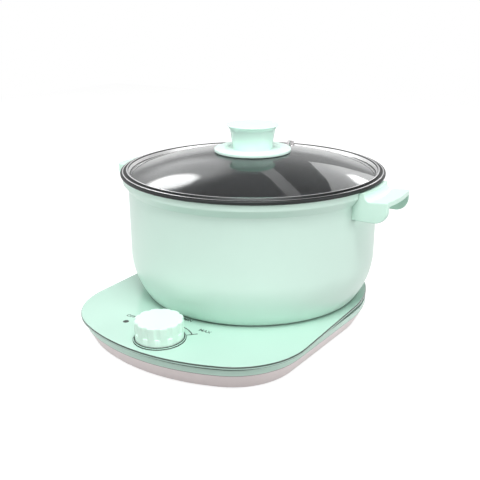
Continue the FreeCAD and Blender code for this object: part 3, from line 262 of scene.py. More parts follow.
def back_printed_glass(name, light, shade, edge, top):
    """Opaque print under clear glass, with a ground edge below its top.

    Down the edge, painted shade lines: dark at the upper arris, pale along the flat, dark below."""
    made, tree, shader, place = new_material(name)
    drift = add(tree, "TexNoise", {"Vector": place, "Scale": 1 / PANEL_CLOUD, "Detail": 2.0})
    mixed = add(tree, "Mix", {
        SHARE: drift.outputs["Fac"], FIRST: colour(shade), SECOND: colour(light)}, data_type="RGBA")
    height = add(tree, "SeparateXYZ", {"Vector": place})
    depth = add(tree, "MapRange", {
        "Value": height.outputs["Z"], "From Min": top, "From Max": top - PANEL_EDGE})
    # Painted shade lines down the edge: edge colour in the dark bands, print in the pale ones.
    arris = add(tree, "ValToRGB", {"Fac": depth.outputs["Result"]})
    set_stops(arris.color_ramp, [
        (0.03, "FFFFFF"), (0.06, "000000"), (0.46, "000000"), (0.50, "FFFFFF"),
        (0.78, "FFFFFF"), (0.82, "000000")])
    ended = add(tree, "Mix", {
        SHARE: arris.outputs["Color"], FIRST: colour(edge), SECOND: mixed.outputs[MIXED]},
        data_type="RGBA")
    smear = add(tree, "TexNoise", {"Vector": place, "Scale": 1 / PANEL_SMEAR, "Detail": 4.0})
    rough = add(tree, "MapRange", {"Value": smear.outputs["Fac"], "To Min": 0.10, "To Max": 0.20})
    feed(tree, shader, {
        "Base Color": ended.outputs[MIXED], "Roughness": rough.outputs["Result"], "IOR": GLASS_IOR})
    return made


panel_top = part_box("top_panel")[1].z
panel_glass = back_printed_glass("glass_mint_back_printed", "B4D5C7", "AED0C2", "3C4A43", panel_top)
dress(panel_glass, "top_panel")


# ---- Scale on the panel ----
# Dark grey ink, screen printed a few hundredths of a millimetre thick round the dial:
# a dot and OFF at rest, a sweep that ends in a tick, and the two ends of the range.
# It dries matt, so it stays dark where the glass shines.
INK_RISE = 0.04 * MM
INK_LINE = 1.1 * MM
WORD_HEIGHT = 5.7 * MM
WORD_WEIGHT = 0.07 * MM
# Bearings are in degrees from the right, seen from above.
SWEEP_RADIUS = 28.0 * MM
SWEEP_START, SWEEP_END = 81.0, 45.4
TICK_START, TICK_END = 22.9 * MM, 33.0 * MM
DOT_RADIUS = 2.7 * MM
DOT_PLACE = (47.5 * MM, 168.3)
dial_low, dial_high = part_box("dial_knob")
dial_axis = ((dial_low.x + dial_high.x) / 2, (dial_low.y + dial_high.y) / 2)
ink = moulded_plastic("ink_screen_printed_grey", "3A403D", "303633", 0.5 * MM, 0.004 * MM, 0.5)


def on_scale(radius, degrees):
    """Points on the panel at a radius and bearing from the dial's axis."""
    turn = np.radians(degrees)
    x = dial_axis[0] + radius * np.cos(turn)
    return np.stack([x, dial_axis[1] + radius * np.sin(turn)], axis=-1)


def grid_faces(rows, columns, closed):
    """Corner numbers of the quads of a grid of points, joined round its columns if closed."""
    index = np.arange(rows * columns).reshape(rows, columns)
    right = np.roll(index, -1, axis=1)
    quads = np.stack([index[:-1], right[:-1], right[1:], index[1:]], axis=-1)
    return (quads if closed else quads[:, :-1]).reshape(-1, 4)


def printed_patch(name, plan):
    """Slab of ink between two lines of points, shape (2, points, 2): a flat box section
    carried along them, with a face at each end."""
    low = np.concatenate([plan, np.full((*plan.shape[:2], 1), panel_top)], axis=-1)
    high = low + np.array([0.0, 0.0, INK_RISE])
    section = np.stack([low[0], high[0], high[1], low[1]], axis=1)
    last = 4 * (len(section) - 1)
    ends = [[3, 2, 1, 0], [last, last + 1, last + 2, last + 3]]
    faces = np.concatenate([grid_faces(len(section), 4, True), ends])
    mesh = bpy.data.meshes.new(name)
    mesh.from_pydata(section.reshape(-1, 3).tolist(), [], faces.tolist())
    finish_mesh(mesh, ink)
    place_piece(name, mesh, "base", "black_plastic")


def printed_word(name, word, radius, degrees):
    """A word laid flat on the panel, upright for someone at the front."""
    text = bpy.data.curves.new(name, "FONT")
    text.body = word
    text.size = WORD_HEIGHT
    text.align_x = "CENTER"
    text.align_y = "CENTER"
    text.extrude = INK_RISE / 2
    text.offset = WORD_WEIGHT
    holder = bpy.data.objects.new(name, text)
    mesh = bpy.data.meshes.new_from_object(holder)
    bpy.data.objects.remove(holder)
    spot = on_scale(radius, degrees)
    mesh.transform(Matrix.Translation((*spot, panel_top + INK_RISE / 2)))
    finish_mesh(mesh, ink)
    place_piece(name, mesh, "base", "black_plastic")


sweep_turn = np.linspace(SWEEP_START, SWEEP_END, 40)
sweep_width = SWEEP_RADIUS + np.array([-INK_LINE / 2, INK_LINE / 2])
printed_patch("scale_sweep", on_scale(sweep_width[:, None], sweep_turn[None, :]))
tick_length = np.linspace(TICK_START, TICK_END, 2)
tick_turn = SWEEP_END + np.degrees(INK_LINE / 2 / SWEEP_RADIUS) * np.array([[-1.0, 1.0]])
printed_patch("scale_tick", on_scale(tick_length[:, None], tick_turn))
dot_centre = on_scale(*DOT_PLACE)
dot_turn = np.radians(np.linspace(0, 180, 17))
dot_half = DOT_RADIUS * np.sin(dot_turn)
dot_along = DOT_RADIUS * np.cos(dot_turn)
dot_plan = np.stack([
    np.stack([dot_centre[0] + dot_along, dot_centre[1] - dot_half], axis=-1),
    np.stack([dot_centre[0] + dot_along, dot_centre[1] + dot_half], axis=-1)])
printed_patch("scale_dot", dot_plan)
printed_word("scale_off", "OFF", 54.0 * MM, 157.5)
printed_word("scale_min", "MIN", 41.4 * MM, 91.0)
printed_word("scale_max", "MAX", 40.3 * MM, 50.5)


# ---- Coil stack ----
# Two flat windings of enamelled copper strand on a screwed-down carrier, ferrite bars below
# and a sheet of pressed mica above. The copper shows fine rings round the axis, the sintered
# ferrite is dull charcoal, the mica a streaky straw colour, and the sensor bare aluminium.
STRAND = 2.0 * MM
# A wave texture of scale 1 repeats every 0.314 m.
WAVE = 0.314


def wound_strand(name, light, shade, pitch, axis):
    """Copper strand wound flat: rings a strand apart round the coil's axis."""
    made, tree, shader, place = new_material(name)
    centred = add(tree, "Mapping", {"Vector": place, "Location": (-axis[0], -axis[1], 0.0)})
    rings = add(tree, "TexWave", {
        "Vector": centred.outputs["Vector"], "Scale": WAVE / pitch, "Distortion": 0.0},
        wave_type="RINGS", rings_direction="Z")
    mixed = add(tree, "Mix", {
        SHARE: rings.outputs["Fac"], FIRST: colour(shade), SECOND: colour(light)}, data_type="RGBA")
    bump = add(tree, "Bump", {
        "Height": rings.outputs["Fac"], "Strength": 1.0, "Distance": pitch / 3})
    feed(tree, shader, {
        "Base Color": mixed.outputs[MIXED], "Normal": bump.outputs["Normal"],
        "Metallic": 1.0, "Roughness": 0.38})
    return made


pot_low, pot_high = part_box("pot_body")
pot_axis = ((pot_low.x + pot_high.x) / 2, (pot_low.y + pot_high.y) / 2)
copper_strand = wound_strand("copper_enamelled_strand", "C77B4A", "7E4526", STRAND, pot_axis)
ferrite = plated_metal("ferrite_sintered", "4A4B4E", "38393C", 1.2 * MM, 0.55)
mica = moulded_plastic("mica_pressed_sheet", "CDBF95", "AD9B6C", 3.0 * MM, 0.01 * MM, 0.35)
bare_aluminium = plated_metal("aluminium_bare", "C9CCCF", "B7BABE", 1.5 * MM, 0.36)
dress(copper_strand, "induction_coil")
dress(black_nylon, "coil_carrier")
dress(ferrite, "ferrite_bars")
dress(mica, "mica_sheet")
dress(bare_aluminium, "temperature_sensor")


# ---- Cooling fan ----
# Scroll housing and bladed wheel, both moulded in black polyamide, dark and dull. The housing
# is pushed onto a collar of the tray, and the wheel turns on its own shaft inside it.
dress(black_nylon, "fan_housing", "fan_rotor")


# ---- Electronics ----
# Two boards of glass laminate under a glossy green lacquer, and what is soldered to them: a
# heat sink, devices in dull grey epoxy, capacitors and terminals in white nylon cases, a
# ferrite choke, and the black dial control with its steel shaft and plated brass nut.
green_board = moulded_plastic("laminate_green_masked", "2F6B46", "245638", 1.6 * MM, 0.01 * MM, 0.3)
grey_epoxy = moulded_plastic("epoxy_moulded_grey", "3A3C3F", "2D2F31", 0.7 * MM, 0.01 * MM, 0.5)
white_case = moulded_plastic("polyamide_white", "ECEBE6", "E0DFD9", 0.8 * MM, 0.01 * MM, 0.42)
nut_brass = plated_metal("brass_nickel_plated", "D8C48E", "C5B07A", 0.8 * MM, 0.3)
dress(green_board, "power_board", "control_board")
dress(bare_aluminium, "heat_sink")
dress(grey_epoxy, "power_transistor", "bridge_rectifier")
dress(white_case, "filter_capacitors", "terminal_block")
dress(ferrite, "choke")
dress(black_nylon, "potentiometer")
dress(nut_brass, "dial_nut")
dress(zinc_steel, "dial_shaft")


# ---- Dial ----
# Hollow knob in pale satin ABS, a push fit on the flat of its shaft. Twelve hollows round
# the skirt give the fingers hold, and each ends in a small flat ledge over a plain collar.
# The satin skin spreads the light, so the hollows show as soft shades of one colour.
pale_satin = moulded_plastic("abs_pale_satin", "D9F5E7", "D2F0E1", 1.4 * MM, 0.008 * MM, 0.34)
DIAL_RADIUS = (dial_high.x - dial_low.x) / 2
DIAL_EDGE = 1.2 * MM
DIAL_CHAMFER = 0.3 * MM
DIAL_WALL = 3.1 * MM
DIAL_COLLAR = panel_top + 7.8 * MM
# The ledge: height over the collar, and share of the hollows' depth.
DIAL_LEDGE = [(-0.12 * MM, 0.0), (0.0, 0.06), (0.02 * MM, 0.94), (0.14 * MM, 1.0)]
SKIRT_START = 1.0 * MM
HOLLOW_RADIUS = 3.4 * MM
HOLLOW_CENTRE = DIAL_RADIUS - 1.3 * MM + HOLLOW_RADIUS
HOLLOW_PHASE = 4.3
HOLLOWS = 12
HOLLOW_BLEND = 0.16 * MM


def hollowed(turn):
    """Radius at each bearing: the lesser of the round skirt and twelve round cutters.

    The cutter's near side is c cos d - sqrt(q^2 - c^2 sin^2 d); a soft least blends the two."""
    pitch = 2 * math.pi / HOLLOWS
    from_middle = (turn - math.radians(HOLLOW_PHASE) + pitch / 2) % pitch - pitch / 2
    across = HOLLOW_CENTRE * np.sin(from_middle)
    inside = np.sqrt(np.maximum(HOLLOW_RADIUS ** 2 - across ** 2, 0.0))
    cutter = HOLLOW_CENTRE * np.cos(from_middle) - inside
    gap = np.clip((cutter - DIAL_RADIUS) / HOLLOW_BLEND, -40, 40)
    return DIAL_RADIUS - HOLLOW_BLEND * np.log1p(np.exp(-gap))


def dial_mesh():
    """Rows (inset from the skirt, height, share of the hollows, share of the radius), each
    carried round the dial's axis: under the top, down the wall, up the skirt, over the top."""
    low, high = dial_low.z, dial_high.z
    rows = [(0.0, high - DIAL_WALL, 0.0, 0.0), (DIAL_WALL, high - DIAL_WALL, 0.0, 1.0),
            (DIAL_WALL, low, 0.0, 1.0), (DIAL_CHAMFER, low, 0.0, 1.0),
            (0.0, low + DIAL_CHAMFER, 0.0, 1.0)]
    rows += [(0.0, DIAL_COLLAR + rise, cut, 1.0) for rise, cut in DIAL_LEDGE]
    skirt = np.linspace(DIAL_COLLAR + SKIRT_START, high - DIAL_EDGE, 6)
    rows += [(0.0, z, 1.0, 1.0) for z in skirt]
    rows += [(DIAL_EDGE * (1 - math.cos(b)), high - DIAL_EDGE * (1 - math.sin(b)), 1.0, 1.0)
             for b in np.linspace(0, math.pi / 2, 9)[1:]]
    rows += [(DIAL_EDGE, high, 1.0, share) for share in (0.93, 0.7, 0.4, 0.0)]
    inset, height, cut, share = np.array(rows).T[:, :, None]
    turn = np.linspace(0, 2 * math.pi, 24 * HOLLOWS, endpoint=False)[None, :]
    radius = share * (DIAL_RADIUS + cut * (hollowed(turn) - DIAL_RADIUS) - inset)
    x = dial_axis[0] + radius * np.cos(turn)
    y = dial_axis[1] + radius * np.sin(turn)
    points = np.stack([x, y, np.broadcast_to(height, x.shape)], axis=-1)
    mesh = bpy.data.meshes.new("dial_cap")
    mesh.from_pydata(points.reshape(-1, 3).tolist(), [], grid_faces(*x.shape, True).tolist())
    finish_mesh(mesh, pale_satin)
    return mesh


place_piece("dial_cap", dial_mesh(), "dial", "white_plastic", "dial_knob")


# ---- Dial ring ----
# Trim ring pressed into the panel's recess, mint, with its raised inner lip and its outer edge
# painted near-black as painted shade for the gaps round the knob and at the panel.
# These show as two fine dark lines with the mint between them.
RING_GAP = 0.93 * MM
RING_BEAD = 0.06 * MM
RING_LIP = 0.6 * MM
RING_MARGIN = 1.0 * MM
RING_BLUR = 0.1 * MM
DUST = 0.6 * MM


def from_axis(tree, place, axis):
    """Distance from an upright axis: the length of the level part of the place."""
    centred = add(tree, "Mapping", {"Vector": place, "Location": (-axis[0], -axis[1], 0.0)})
    level = add(tree, "VectorMath", {
        0: centred.outputs["Vector"], 1: (1.0, 1.0, 0.0)}, operation="MULTIPLY")
    length = add(tree, "VectorMath", {0: level.outputs["Vector"]}, operation="LENGTH")
    return length.outputs["Value"]


def two_shot(name, light, dark, inner, outer, lip):
    """Mint between two radii round the dial's axis and below the lip, painted shade elsewhere."""
    made, tree, shader, place = new_material(name)
    share = add(tree, "MapRange", {
        "Value": from_axis(tree, place, dial_axis), "From Min": inner - RING_MARGIN,
        "From Max": outer + RING_MARGIN})
    shots = add(tree, "ValToRGB", {"Fac": share.outputs["Result"]})
    edge = RING_MARGIN / (outer - inner + 2 * RING_MARGIN)
    set_stops(shots.color_ramp, [
        (edge - 0.01, dark), (edge, light), (1 - edge, light), (1 - edge + 0.01, dark)])
    height = add(tree, "SeparateXYZ", {"Vector": place})
    raised = add(tree, "MapRange", {
        "Value": height.outputs["Z"], "From Min": lip - RING_BLUR, "From Max": lip})
    mixed = add(tree, "Mix", {
        SHARE: raised.outputs["Result"], FIRST: shots.outputs["Color"], SECOND: colour(dark)},
        data_type="RGBA")
    dust = add(tree, "TexNoise", {"Vector": place, "Scale": 1 / DUST})
    rough = add(tree, "MapRange", {"Value": dust.outputs["Fac"], "To Min": 0.42, "To Max": 0.58})
    feed(tree, shader, {
        "Base Color": mixed.outputs[MIXED], "Roughness": rough.outputs["Result"]})
    return made


dial_radius = dial_high.x - dial_axis[0]
ring_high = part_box("dial_ring")[1]
ring_radius = ring_high.x - dial_axis[0]
# The ring's dark lip and outer edge are painted shade for the gaps beside them.
ring_shots = two_shot("ring_mint_painted_gap_shade", "C4E4D6", "2A2D2C", dial_radius + RING_GAP,
                      ring_radius - RING_BEAD, ring_high.z - RING_LIP)
dress(ring_shots, "dial_ring")


# ---- Pot ----
# Cast aluminium pot, sprayed mint outside and coated dark and non-stick inside. The enamel
# has a faint orange peel under a clear, soft gloss, the coating fine pale specks. A disc of
# magnetic steel is pressed into its foot, and cast brackets on the wall carry the handles.
POT_WALL_RADIUS = 121.0 * MM
POT_WALL = 2.4 * MM
POT_FLOOR = 4.0 * MM
POT_CORNER_RADIUS = 70.0 * MM
POT_CORNER_RISE = 42.0 * MM
POT_BEVEL_RISE = 1.2 * MM
POT_BEVEL_RUN = 1.9 * MM
FLARE_RUN = 5.2 * MM
FLARE_RISE = 7.0 * MM
COLLAR_RISE = 5.8 * MM
CREASE_RADIUS = 0.5 * MM
CROWN_RADIUS = 2.5 * MM
RIM_RADIUS = 0.7 * MM
DISC_RECESS = 0.8 * MM
DISC_GAP = 0.1 * MM
BARE_FOOT = 1.3 * MM
SPRAY_BLUR = 0.2 * MM
POT_CLOUD = 80.0 * MM
ORANGE_PEEL = 3.0 * MM
PEEL_DEPTH = 0.01 * MM
ENAMEL_IOR = 1.5
SPECK_PITCH = 2.2 * MM


def enamelled_casting(name, light, shade, bare, foot):
    """Sprayed enamel: a slow drift between two close mints, and an orange peel.

    Below the foot's height the colour is painted dark, as shade where the pot meets the panel."""
    made, tree, shader, place = new_material(name)
    drift = add(tree, "TexNoise", {"Vector": place, "Scale": 1 / POT_CLOUD, "Detail": 2.0})
    mixed = add(tree, "Mix", {
        SHARE: drift.outputs["Fac"], FIRST: colour(shade), SECOND: colour(light)}, data_type="RGBA")
    height = add(tree, "SeparateXYZ", {"Vector": place})
    sprayed = add(tree, "MapRange", {
        "Value": height.outputs["Z"], "From Min": foot - SPRAY_BLUR, "From Max": foot})
    ended = add(tree, "Mix", {
        SHARE: sprayed.outputs["Result"], FIRST: colour(bare), SECOND: mixed.outputs[MIXED]},
        data_type="RGBA")
    peel = add(tree, "TexNoise", {"Vector": place, "Scale": 1 / ORANGE_PEEL, "Detail": 1.0})
    bump = add(tree, "Bump", {
        "Height": peel.outputs["Fac"], "Strength": 1.0, "Distance": PEEL_DEPTH})
    rough = add(tree, "MapRange", {"Value": peel.outputs["Fac"], "To Min": 0.26, "To Max": 0.36})
    feed(tree, shader, {
        "Base Color": ended.outputs[MIXED], "Roughness": rough.outputs["Result"],
        "Normal": bump.outputs["Normal"], "IOR": ENAMEL_IOR})
    return made


def speckled_coating(name, ground, speck):
    """Non-stick coating: sparse pale specks, under a millimetre across, in a dark ground."""
    made, tree, shader, place = new_material(name)
    cells = add(tree, "TexVoronoi", {"Vector": place, "Scale": 1 / SPECK_PITCH})
    spots = add(tree, "MapRange", {
        "Value": cells.outputs["Distance"], "From Min": 0.10, "From Max": 0.22,
        "To Min": 1.0, "To Max": 0.0})
    mixed = add(tree, "Mix", {
        SHARE: spots.outputs["Result"], FIRST: colour(ground), SECOND: colour(speck)},
        data_type="RGBA")
    feed(tree, shader, {"Base Color": mixed.outputs[MIXED], "Roughness": 0.38})
    return made


def arc_path(centre, radius, start, end, steps=16):
    """Points (r, z) of an arc: centre plus radius times cosine and sine of even angles."""
    turn = np.radians(np.linspace(start, end, steps))
    return np.stack([centre[0] + radius * np.cos(turn), centre[1] + radius * np.sin(turn)], axis=-1)


def turned_mesh(name, path, finishes, steps=360):
    """Path (r, z) carried round the pot's axis: x = r cos a, y = r sin a."""
    turn = np.linspace(0, 2 * math.pi, steps, endpoint=False)[None, :]
    radius, height = path[:, :1], path[:, 1:]
    x = pot_axis[0] + radius * np.cos(turn)
    y = pot_axis[1] + radius * np.sin(turn)
    points = np.stack([x, y, np.broadcast_to(height, x.shape)], axis=-1)
    mesh = bpy.data.meshes.new(name)
    mesh.from_pydata(points.reshape(-1, 3).tolist(), [], grid_faces(*x.shape, True).tolist())
    finish_mesh(mesh, *finishes)
    return mesh


def pot_path():
    """Outside from the axis up to the rim, then inside down to the floor: lines and arcs."""
    floor, rim = pot_low.z, pot_high.z
    collar = POT_WALL_RADIUS + FLARE_RUN
    tilt = math.atan2(FLARE_RUN, FLARE_RISE)
    bend = math.degrees(tilt)
    crease_z = rim - COLLAR_RISE - FLARE_RISE
    corner = (POT_WALL_RADIUS - POT_CORNER_RADIUS, floor + POT_CORNER_RISE)
    crease = (POT_WALL_RADIUS + CREASE_RADIUS, crease_z - CREASE_RADIUS * math.tan(tilt / 2))
    crown = (collar - CROWN_RADIUS, rim - COLLAR_RISE + CROWN_RADIUS * math.tan(tilt / 2))
    start = -math.degrees(math.asin((POT_CORNER_RISE - POT_BEVEL_RISE) / POT_CORNER_RADIUS))
    inner_radius = POT_CORNER_RADIUS - POT_WALL
    inner_start = -math.degrees(math.asin((POT_CORNER_RISE - POT_FLOOR) / inner_radius))
    foot = corner[0] + POT_CORNER_RADIUS * math.cos(math.radians(start)) - POT_BEVEL_RUN
    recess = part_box("induction_disc")[1].x + DISC_GAP
    outside = np.concatenate([
        [(0.0, floor + DISC_RECESS), (recess, floor + DISC_RECESS), (recess, floor), (foot, floor)],
        arc_path(corner, POT_CORNER_RADIUS, start, 0, 40),
        arc_path(crease, CREASE_RADIUS, 180, 180 - bend, 10),
        arc_path(crown, CROWN_RADIUS, -bend, 0, 12),
        arc_path((collar - RIM_RADIUS, rim - RIM_RADIUS), RIM_RADIUS, 0, 90, 8)])
    inside = np.concatenate([
        arc_path((collar - POT_WALL + RIM_RADIUS, rim - RIM_RADIUS), RIM_RADIUS, 90, 180, 8),
        arc_path(crown, CROWN_RADIUS - POT_WALL, 0, -bend, 10),
        arc_path(crease, CREASE_RADIUS + POT_WALL, 180 - bend, 180, 12),
        arc_path(corner, inner_radius, 0, inner_start, 40),
        [(0.0, floor + POT_FLOOR)]])
    return np.concatenate([outside, inside])


def coat_inside(mesh, radius, bottom):
    """Second finish for faces above the bottom that face the axis, or face up within a radius."""
    middles = np.zeros(len(mesh.polygons) * 3)
    facing = np.zeros(len(mesh.polygons) * 3)
    mesh.polygons.foreach_get("center", middles)
    mesh.polygons.foreach_get("normal", facing)
    middles, facing = middles.reshape(-1, 3), facing.reshape(-1, 3)
    outwards = middles[:, :2] - np.array(pot_axis)
    inward = (outwards * facing[:, :2]).sum(axis=1) < 0
    level = (facing[:, 2] > 0.5) & (np.hypot(*outwards.T) < radius)
    coated = (middles[:, 2] > bottom) & (inward | level)
    mesh.polygons.foreach_set("material_index", coated.astype(np.int32))


# The dark band round the pot's foot is painted contact shade.
enamel = enamelled_casting(
    "aluminium_cast_mint_enamel", "D8F2E6", "D2EDE1", "2C3330", pot_low.z + BARE_FOOT)
coating = speckled_coating("coating_nonstick_speckled", "88888C", "A2A3A8")
pot_mesh = turned_mesh("pot_casting", pot_path(), [enamel, coating])
coat_inside(pot_mesh, POT_WALL_RADIUS, pot_low.z + POT_FLOOR / 2)
place_piece("pot_casting", pot_mesh, "pot", "mint_enamel", "pot_body")
magnetic_steel = plated_metal("steel_magnetic_pickled", "A4A6A9", "939598", 1.5 * MM, 0.40)
cast_aluminium = plated_metal("aluminium_as_cast", "C1C3C5", "ADAFB2", 1.2 * MM, 0.48)
dress(magnetic_steel, "induction_disc")
dress(cast_aluminium, "handle_bracket_right", "handle_bracket_left")


# ---- Handles ----
# Hood-shaped grips of gloss mint ABS, each screwed to a bracket on the pot's wall. The mould
# leaves every outer edge round enough to hold, and the round edges catch a soft line of light.
HANDLE_EDGE = 0.7 * MM
mint_abs = moulded_plastic("abs_mint_gloss", "D8F8EA", "D2F3E4", 2.5 * MM, 0.006 * MM, 0.24)
softened("handle_right", "handle_grip_right", "pot", "mint_plastic", mint_abs, HANDLE_EDGE)
softened("handle_left", "handle_grip_left", "pot", "mint_plastic", mint_abs, HANDLE_EDGE)


# ---- Lid glass ----
# Domed disc of tempered glass, tinted grey in the melt and lying in the lid's band. It shows
# the dark pot inside, and the room mirrored in its smooth, very slightly wavy face.
LID_WAVE = 30.0 * MM
LID_WAVE_DEPTH = 0.15 * MM
LID_GLASS_IOR = 1.5


def tinted_glass(name, tint, pale_tint):
    """Clear smooth glass with a nearly even tint, and the faint waves that tempering leaves."""
    made, tree, shader, place = new_material(name)
    wave = add(tree, "TexNoise", {"Vector": place, "Scale": 1 / LID_WAVE, "Detail": 1.0})
    rough = add(tree, "MapRange", {"Value": wave.outputs["Fac"], "To Min": 0.01, "To Max": 0.03})
    drift = add(tree, "Mix", {
        SHARE: wave.outputs["Fac"], FIRST: colour(tint), SECOND: colour(pale_tint)},
        data_type="RGBA")
    bump = add(tree, "Bump", {
        "Height": wave.outputs["Fac"], "Strength": 1.0, "Distance": LID_WAVE_DEPTH})
    feed(tree, shader, {
        "Base Color": drift.outputs[MIXED], "Roughness": rough.outputs["Result"],
        "Normal": bump.outputs["Normal"], "IOR": LID_GLASS_IOR, "Transmission Weight": 1.0})
    return made


dress(tinted_glass("glass_tempered_grey", "B6BABA", "BCC0C0"), "lid_glass")


# ---- Lid band ----
# Strip of stainless steel 0.7 mm thick, rolled round the glass into a hook, a seat and two beads.
# Its two beads are polished and show as thin bright lines. Its colour is painted reflection
# in stripes by radius: dark grooves and outer face, pale beads and a brushed, pale inner slope.
BAND_GAUGE = 0.7 * MM
BAND_LIP = 122.05 * MM
BAND_OUTER = 127.65 * MM
BAND_FOOT = 119.5 * MM
BAND_GAP = 0.1 * MM
STRIPES_FROM, STRIPES_TO = 118.0 * MM, 128.0 * MM
ROLL_LINES = 0.4 * MM
GLASS_DOME = 360.0 * MM
GLASS_DROP = 0.35 * MM


def band_finish(name, polished, oxidised, inner):
    """Rolled steel with stripes of painted reflection by radius: pale beads and inner slope, dark
    grooves.

    Lines run round the axis where the rolls have left them, drawn far enough apart to show."""
    made, tree, shader, place = new_material(name)
    radius = from_axis(tree, place, pot_axis)
    share = add(tree, "MapRange", {
        "Value": radius, "From Min": STRIPES_FROM, "From Max": STRIPES_TO})
    stripes = [(0.22, inner), (0.235, oxidised), (0.28, oxidised), (0.295, polished),
               (0.41, polished), (0.43, oxidised), (0.71, oxidised), (0.73, polished),
               (0.80, polished), (0.82, oxidised)]
    smooth, dull = "5A5A5A", "B0B0B0"
    tone = add(tree, "ValToRGB", {"Fac": share.outputs["Result"]})
    set_stops(tone.color_ramp, stripes)
    feel = add(tree, "ValToRGB", {"Fac": share.outputs["Result"]})
    set_stops(feel.color_ramp, [(at, smooth if code == polished else dull) for at, code in stripes])
    around = add(tree, "CombineXYZ", {"X": radius})
    rolled = add(tree, "TexWave", {
        "Vector": around.outputs["Vector"], "Scale": WAVE / ROLL_LINES, "Distortion": 0.0})
    rough = add(tree, "Math", {
        0: rolled.outputs["Fac"], 1: 0.04, 2: feel.outputs["Color"]}, operation="MULTIPLY_ADD")
    feed(tree, shader, {
        "Base Color": tone.outputs["Color"], "Roughness": rough.outputs["Value"], "Metallic": 1.0})
    return made


def rounded_line(corners, steps=9):
    """Line (r, z) through corners (r, z, bend), each corner replaced by an arc of its bend.

    The arc starts and ends bend / tan(half angle) from the corner, on its two sides."""
    corners = np.array(corners)
    line = [corners[:1, :2]]
    for before, corner, after in zip(corners[:-2], corners[1:-1], corners[2:]):
        back = (before - corner)[:2] / np.linalg.norm((before - corner)[:2])
        on = (after - corner)[:2] / np.linalg.norm((after - corner)[:2])
        half = math.acos(float(np.clip(back @ on, -1, 1))) / 2
        middle = corner[:2] + (back + on) / np.linalg.norm(back + on) * corner[2] / math.sin(half)
        start = corner[:2] + back * corner[2] / math.tan(half) - middle
        end = corner[:2] + on * corner[2] / math.tan(half) - middle
        share = np.linspace(0, 1, steps)[:, None]
        sweep = math.pi - 2 * half
        arc = (np.sin((1 - share) * sweep) * start + np.sin(share * sweep) * end) / math.sin(sweep)
        line.append(middle + arc)
    line.append(corners[-1:, :2])
    return np.concatenate(line)


def strip_section(line, gauge):
    """Closed section of a strip: the line moved half a gauge to either side along its normals."""
    along = np.gradient(line, axis=0)
    along /= np.linalg.norm(along, axis=1)[:, None]
    aside = np.stack([-along[:, 1], along[:, 0]], axis=-1) * gauge / 2
    section = np.concatenate([line + aside, (line - aside)[::-1]])
    return np.concatenate([section, section[:1]])


rim = pot_high.z
glass_low, glass_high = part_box("lid_glass")
glass_edge = (glass_high.x - glass_low.x) / 2
dome_centre = rim - GLASS_DROP - math.sqrt(GLASS_DOME ** 2 - glass_edge ** 2)
hook = glass_low.z - BAND_GAP - BAND_GAUGE / 2
seat = rim + BAND_GAUGE / 2
foot = dome_centre + math.sqrt(GLASS_DOME ** 2 - BAND_FOOT ** 2) + BAND_GAP + BAND_GAUGE / 2
# Radius, height and bend of each corner of the strip's middle line, from the hook outwards,
# up the outer face, over the two beads and down the slope to the glass.
band_line = rounded_line([
    (glass_edge - 2.4 * MM, hook, 0.0),
    (BAND_LIP, hook, 0.6 * MM),
    (BAND_LIP, seat, 0.6 * MM),
    (BAND_OUTER, seat, 0.9 * MM),
    (BAND_OUTER, rim + 2.8 * MM, 0.9 * MM),
    (125.5 * MM, rim + 3.3 * MM, 2.0 * MM),
    (123.6 * MM, rim + 2.85 * MM, 0.8 * MM),
    (122.1 * MM, rim + 4.6 * MM, 0.4 * MM),
    (120.9 * MM, rim + 4.6 * MM, 0.4 * MM),
    (BAND_FOOT, foot, 0.0)])
# The band's stripes of colour are painted reflection.
band_steel = band_finish("stainless_strip_rolled", "F0F0F2", "363838", "FAFAFA")
band_mesh = turned_mesh("band_strip", strip_section(band_line, BAND_GAUGE), [band_steel])
place_piece("band_strip", band_mesh, "lid", "band_steel", "lid_band")


# ---- Steam vent ----
# Eyelet of stainless steel, pushed through its hole and rolled over both faces of the glass.
# It is polished bright, and the rolling leaves the shine in fine patches.
vent_steel = plated_metal("stainless_eyelet", "CCC9CA", "BEBBBC", 0.9 * MM, 0.2)
dress(vent_steel, "vent_grommet")


# ---- Knob and seat ----
# Cup-shaped knob on a saucer, both moulded in a paler gloss mint than the band, so they read
# almost white where the light falls. One screw from below, on a rubber washer, holds them.
# The saucer follows the glass below and ends in a round edge that almost touches it.
SEAT_BORE = 2.6 * MM
SEAT_HUB = 5.8 * MM
SEAT_DISH = 0.8 * MM
SEAT_DISH_RADIUS = 25.5 * MM
SEAT_DISH_SLOPE = 1.6 * MM
SEAT_LIP = 2.5 * MM
SEAT_FIT = 0.12 * MM
SEAT_LIP_FIT = 0.3 * MM
pale_abs = moulded_plastic("abs_pale_mint_gloss", "E0FCF2", "DAF8EC", 2.5 * MM, 0.006 * MM, 0.22)
dress(pale_abs, "lid_knob")
dress(black_rubber, "knob_washer")


def above_glass(radius, gap):
    """Height of the glass's upper face at a radius, from its sphere, and a gap over it."""
    return dome_centre + math.sqrt(GLASS_DOME ** 2 - radius ** 2) + gap


seat_low, seat_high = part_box("knob_seat")
seat_radius = (seat_high.x - seat_low.x) / 2
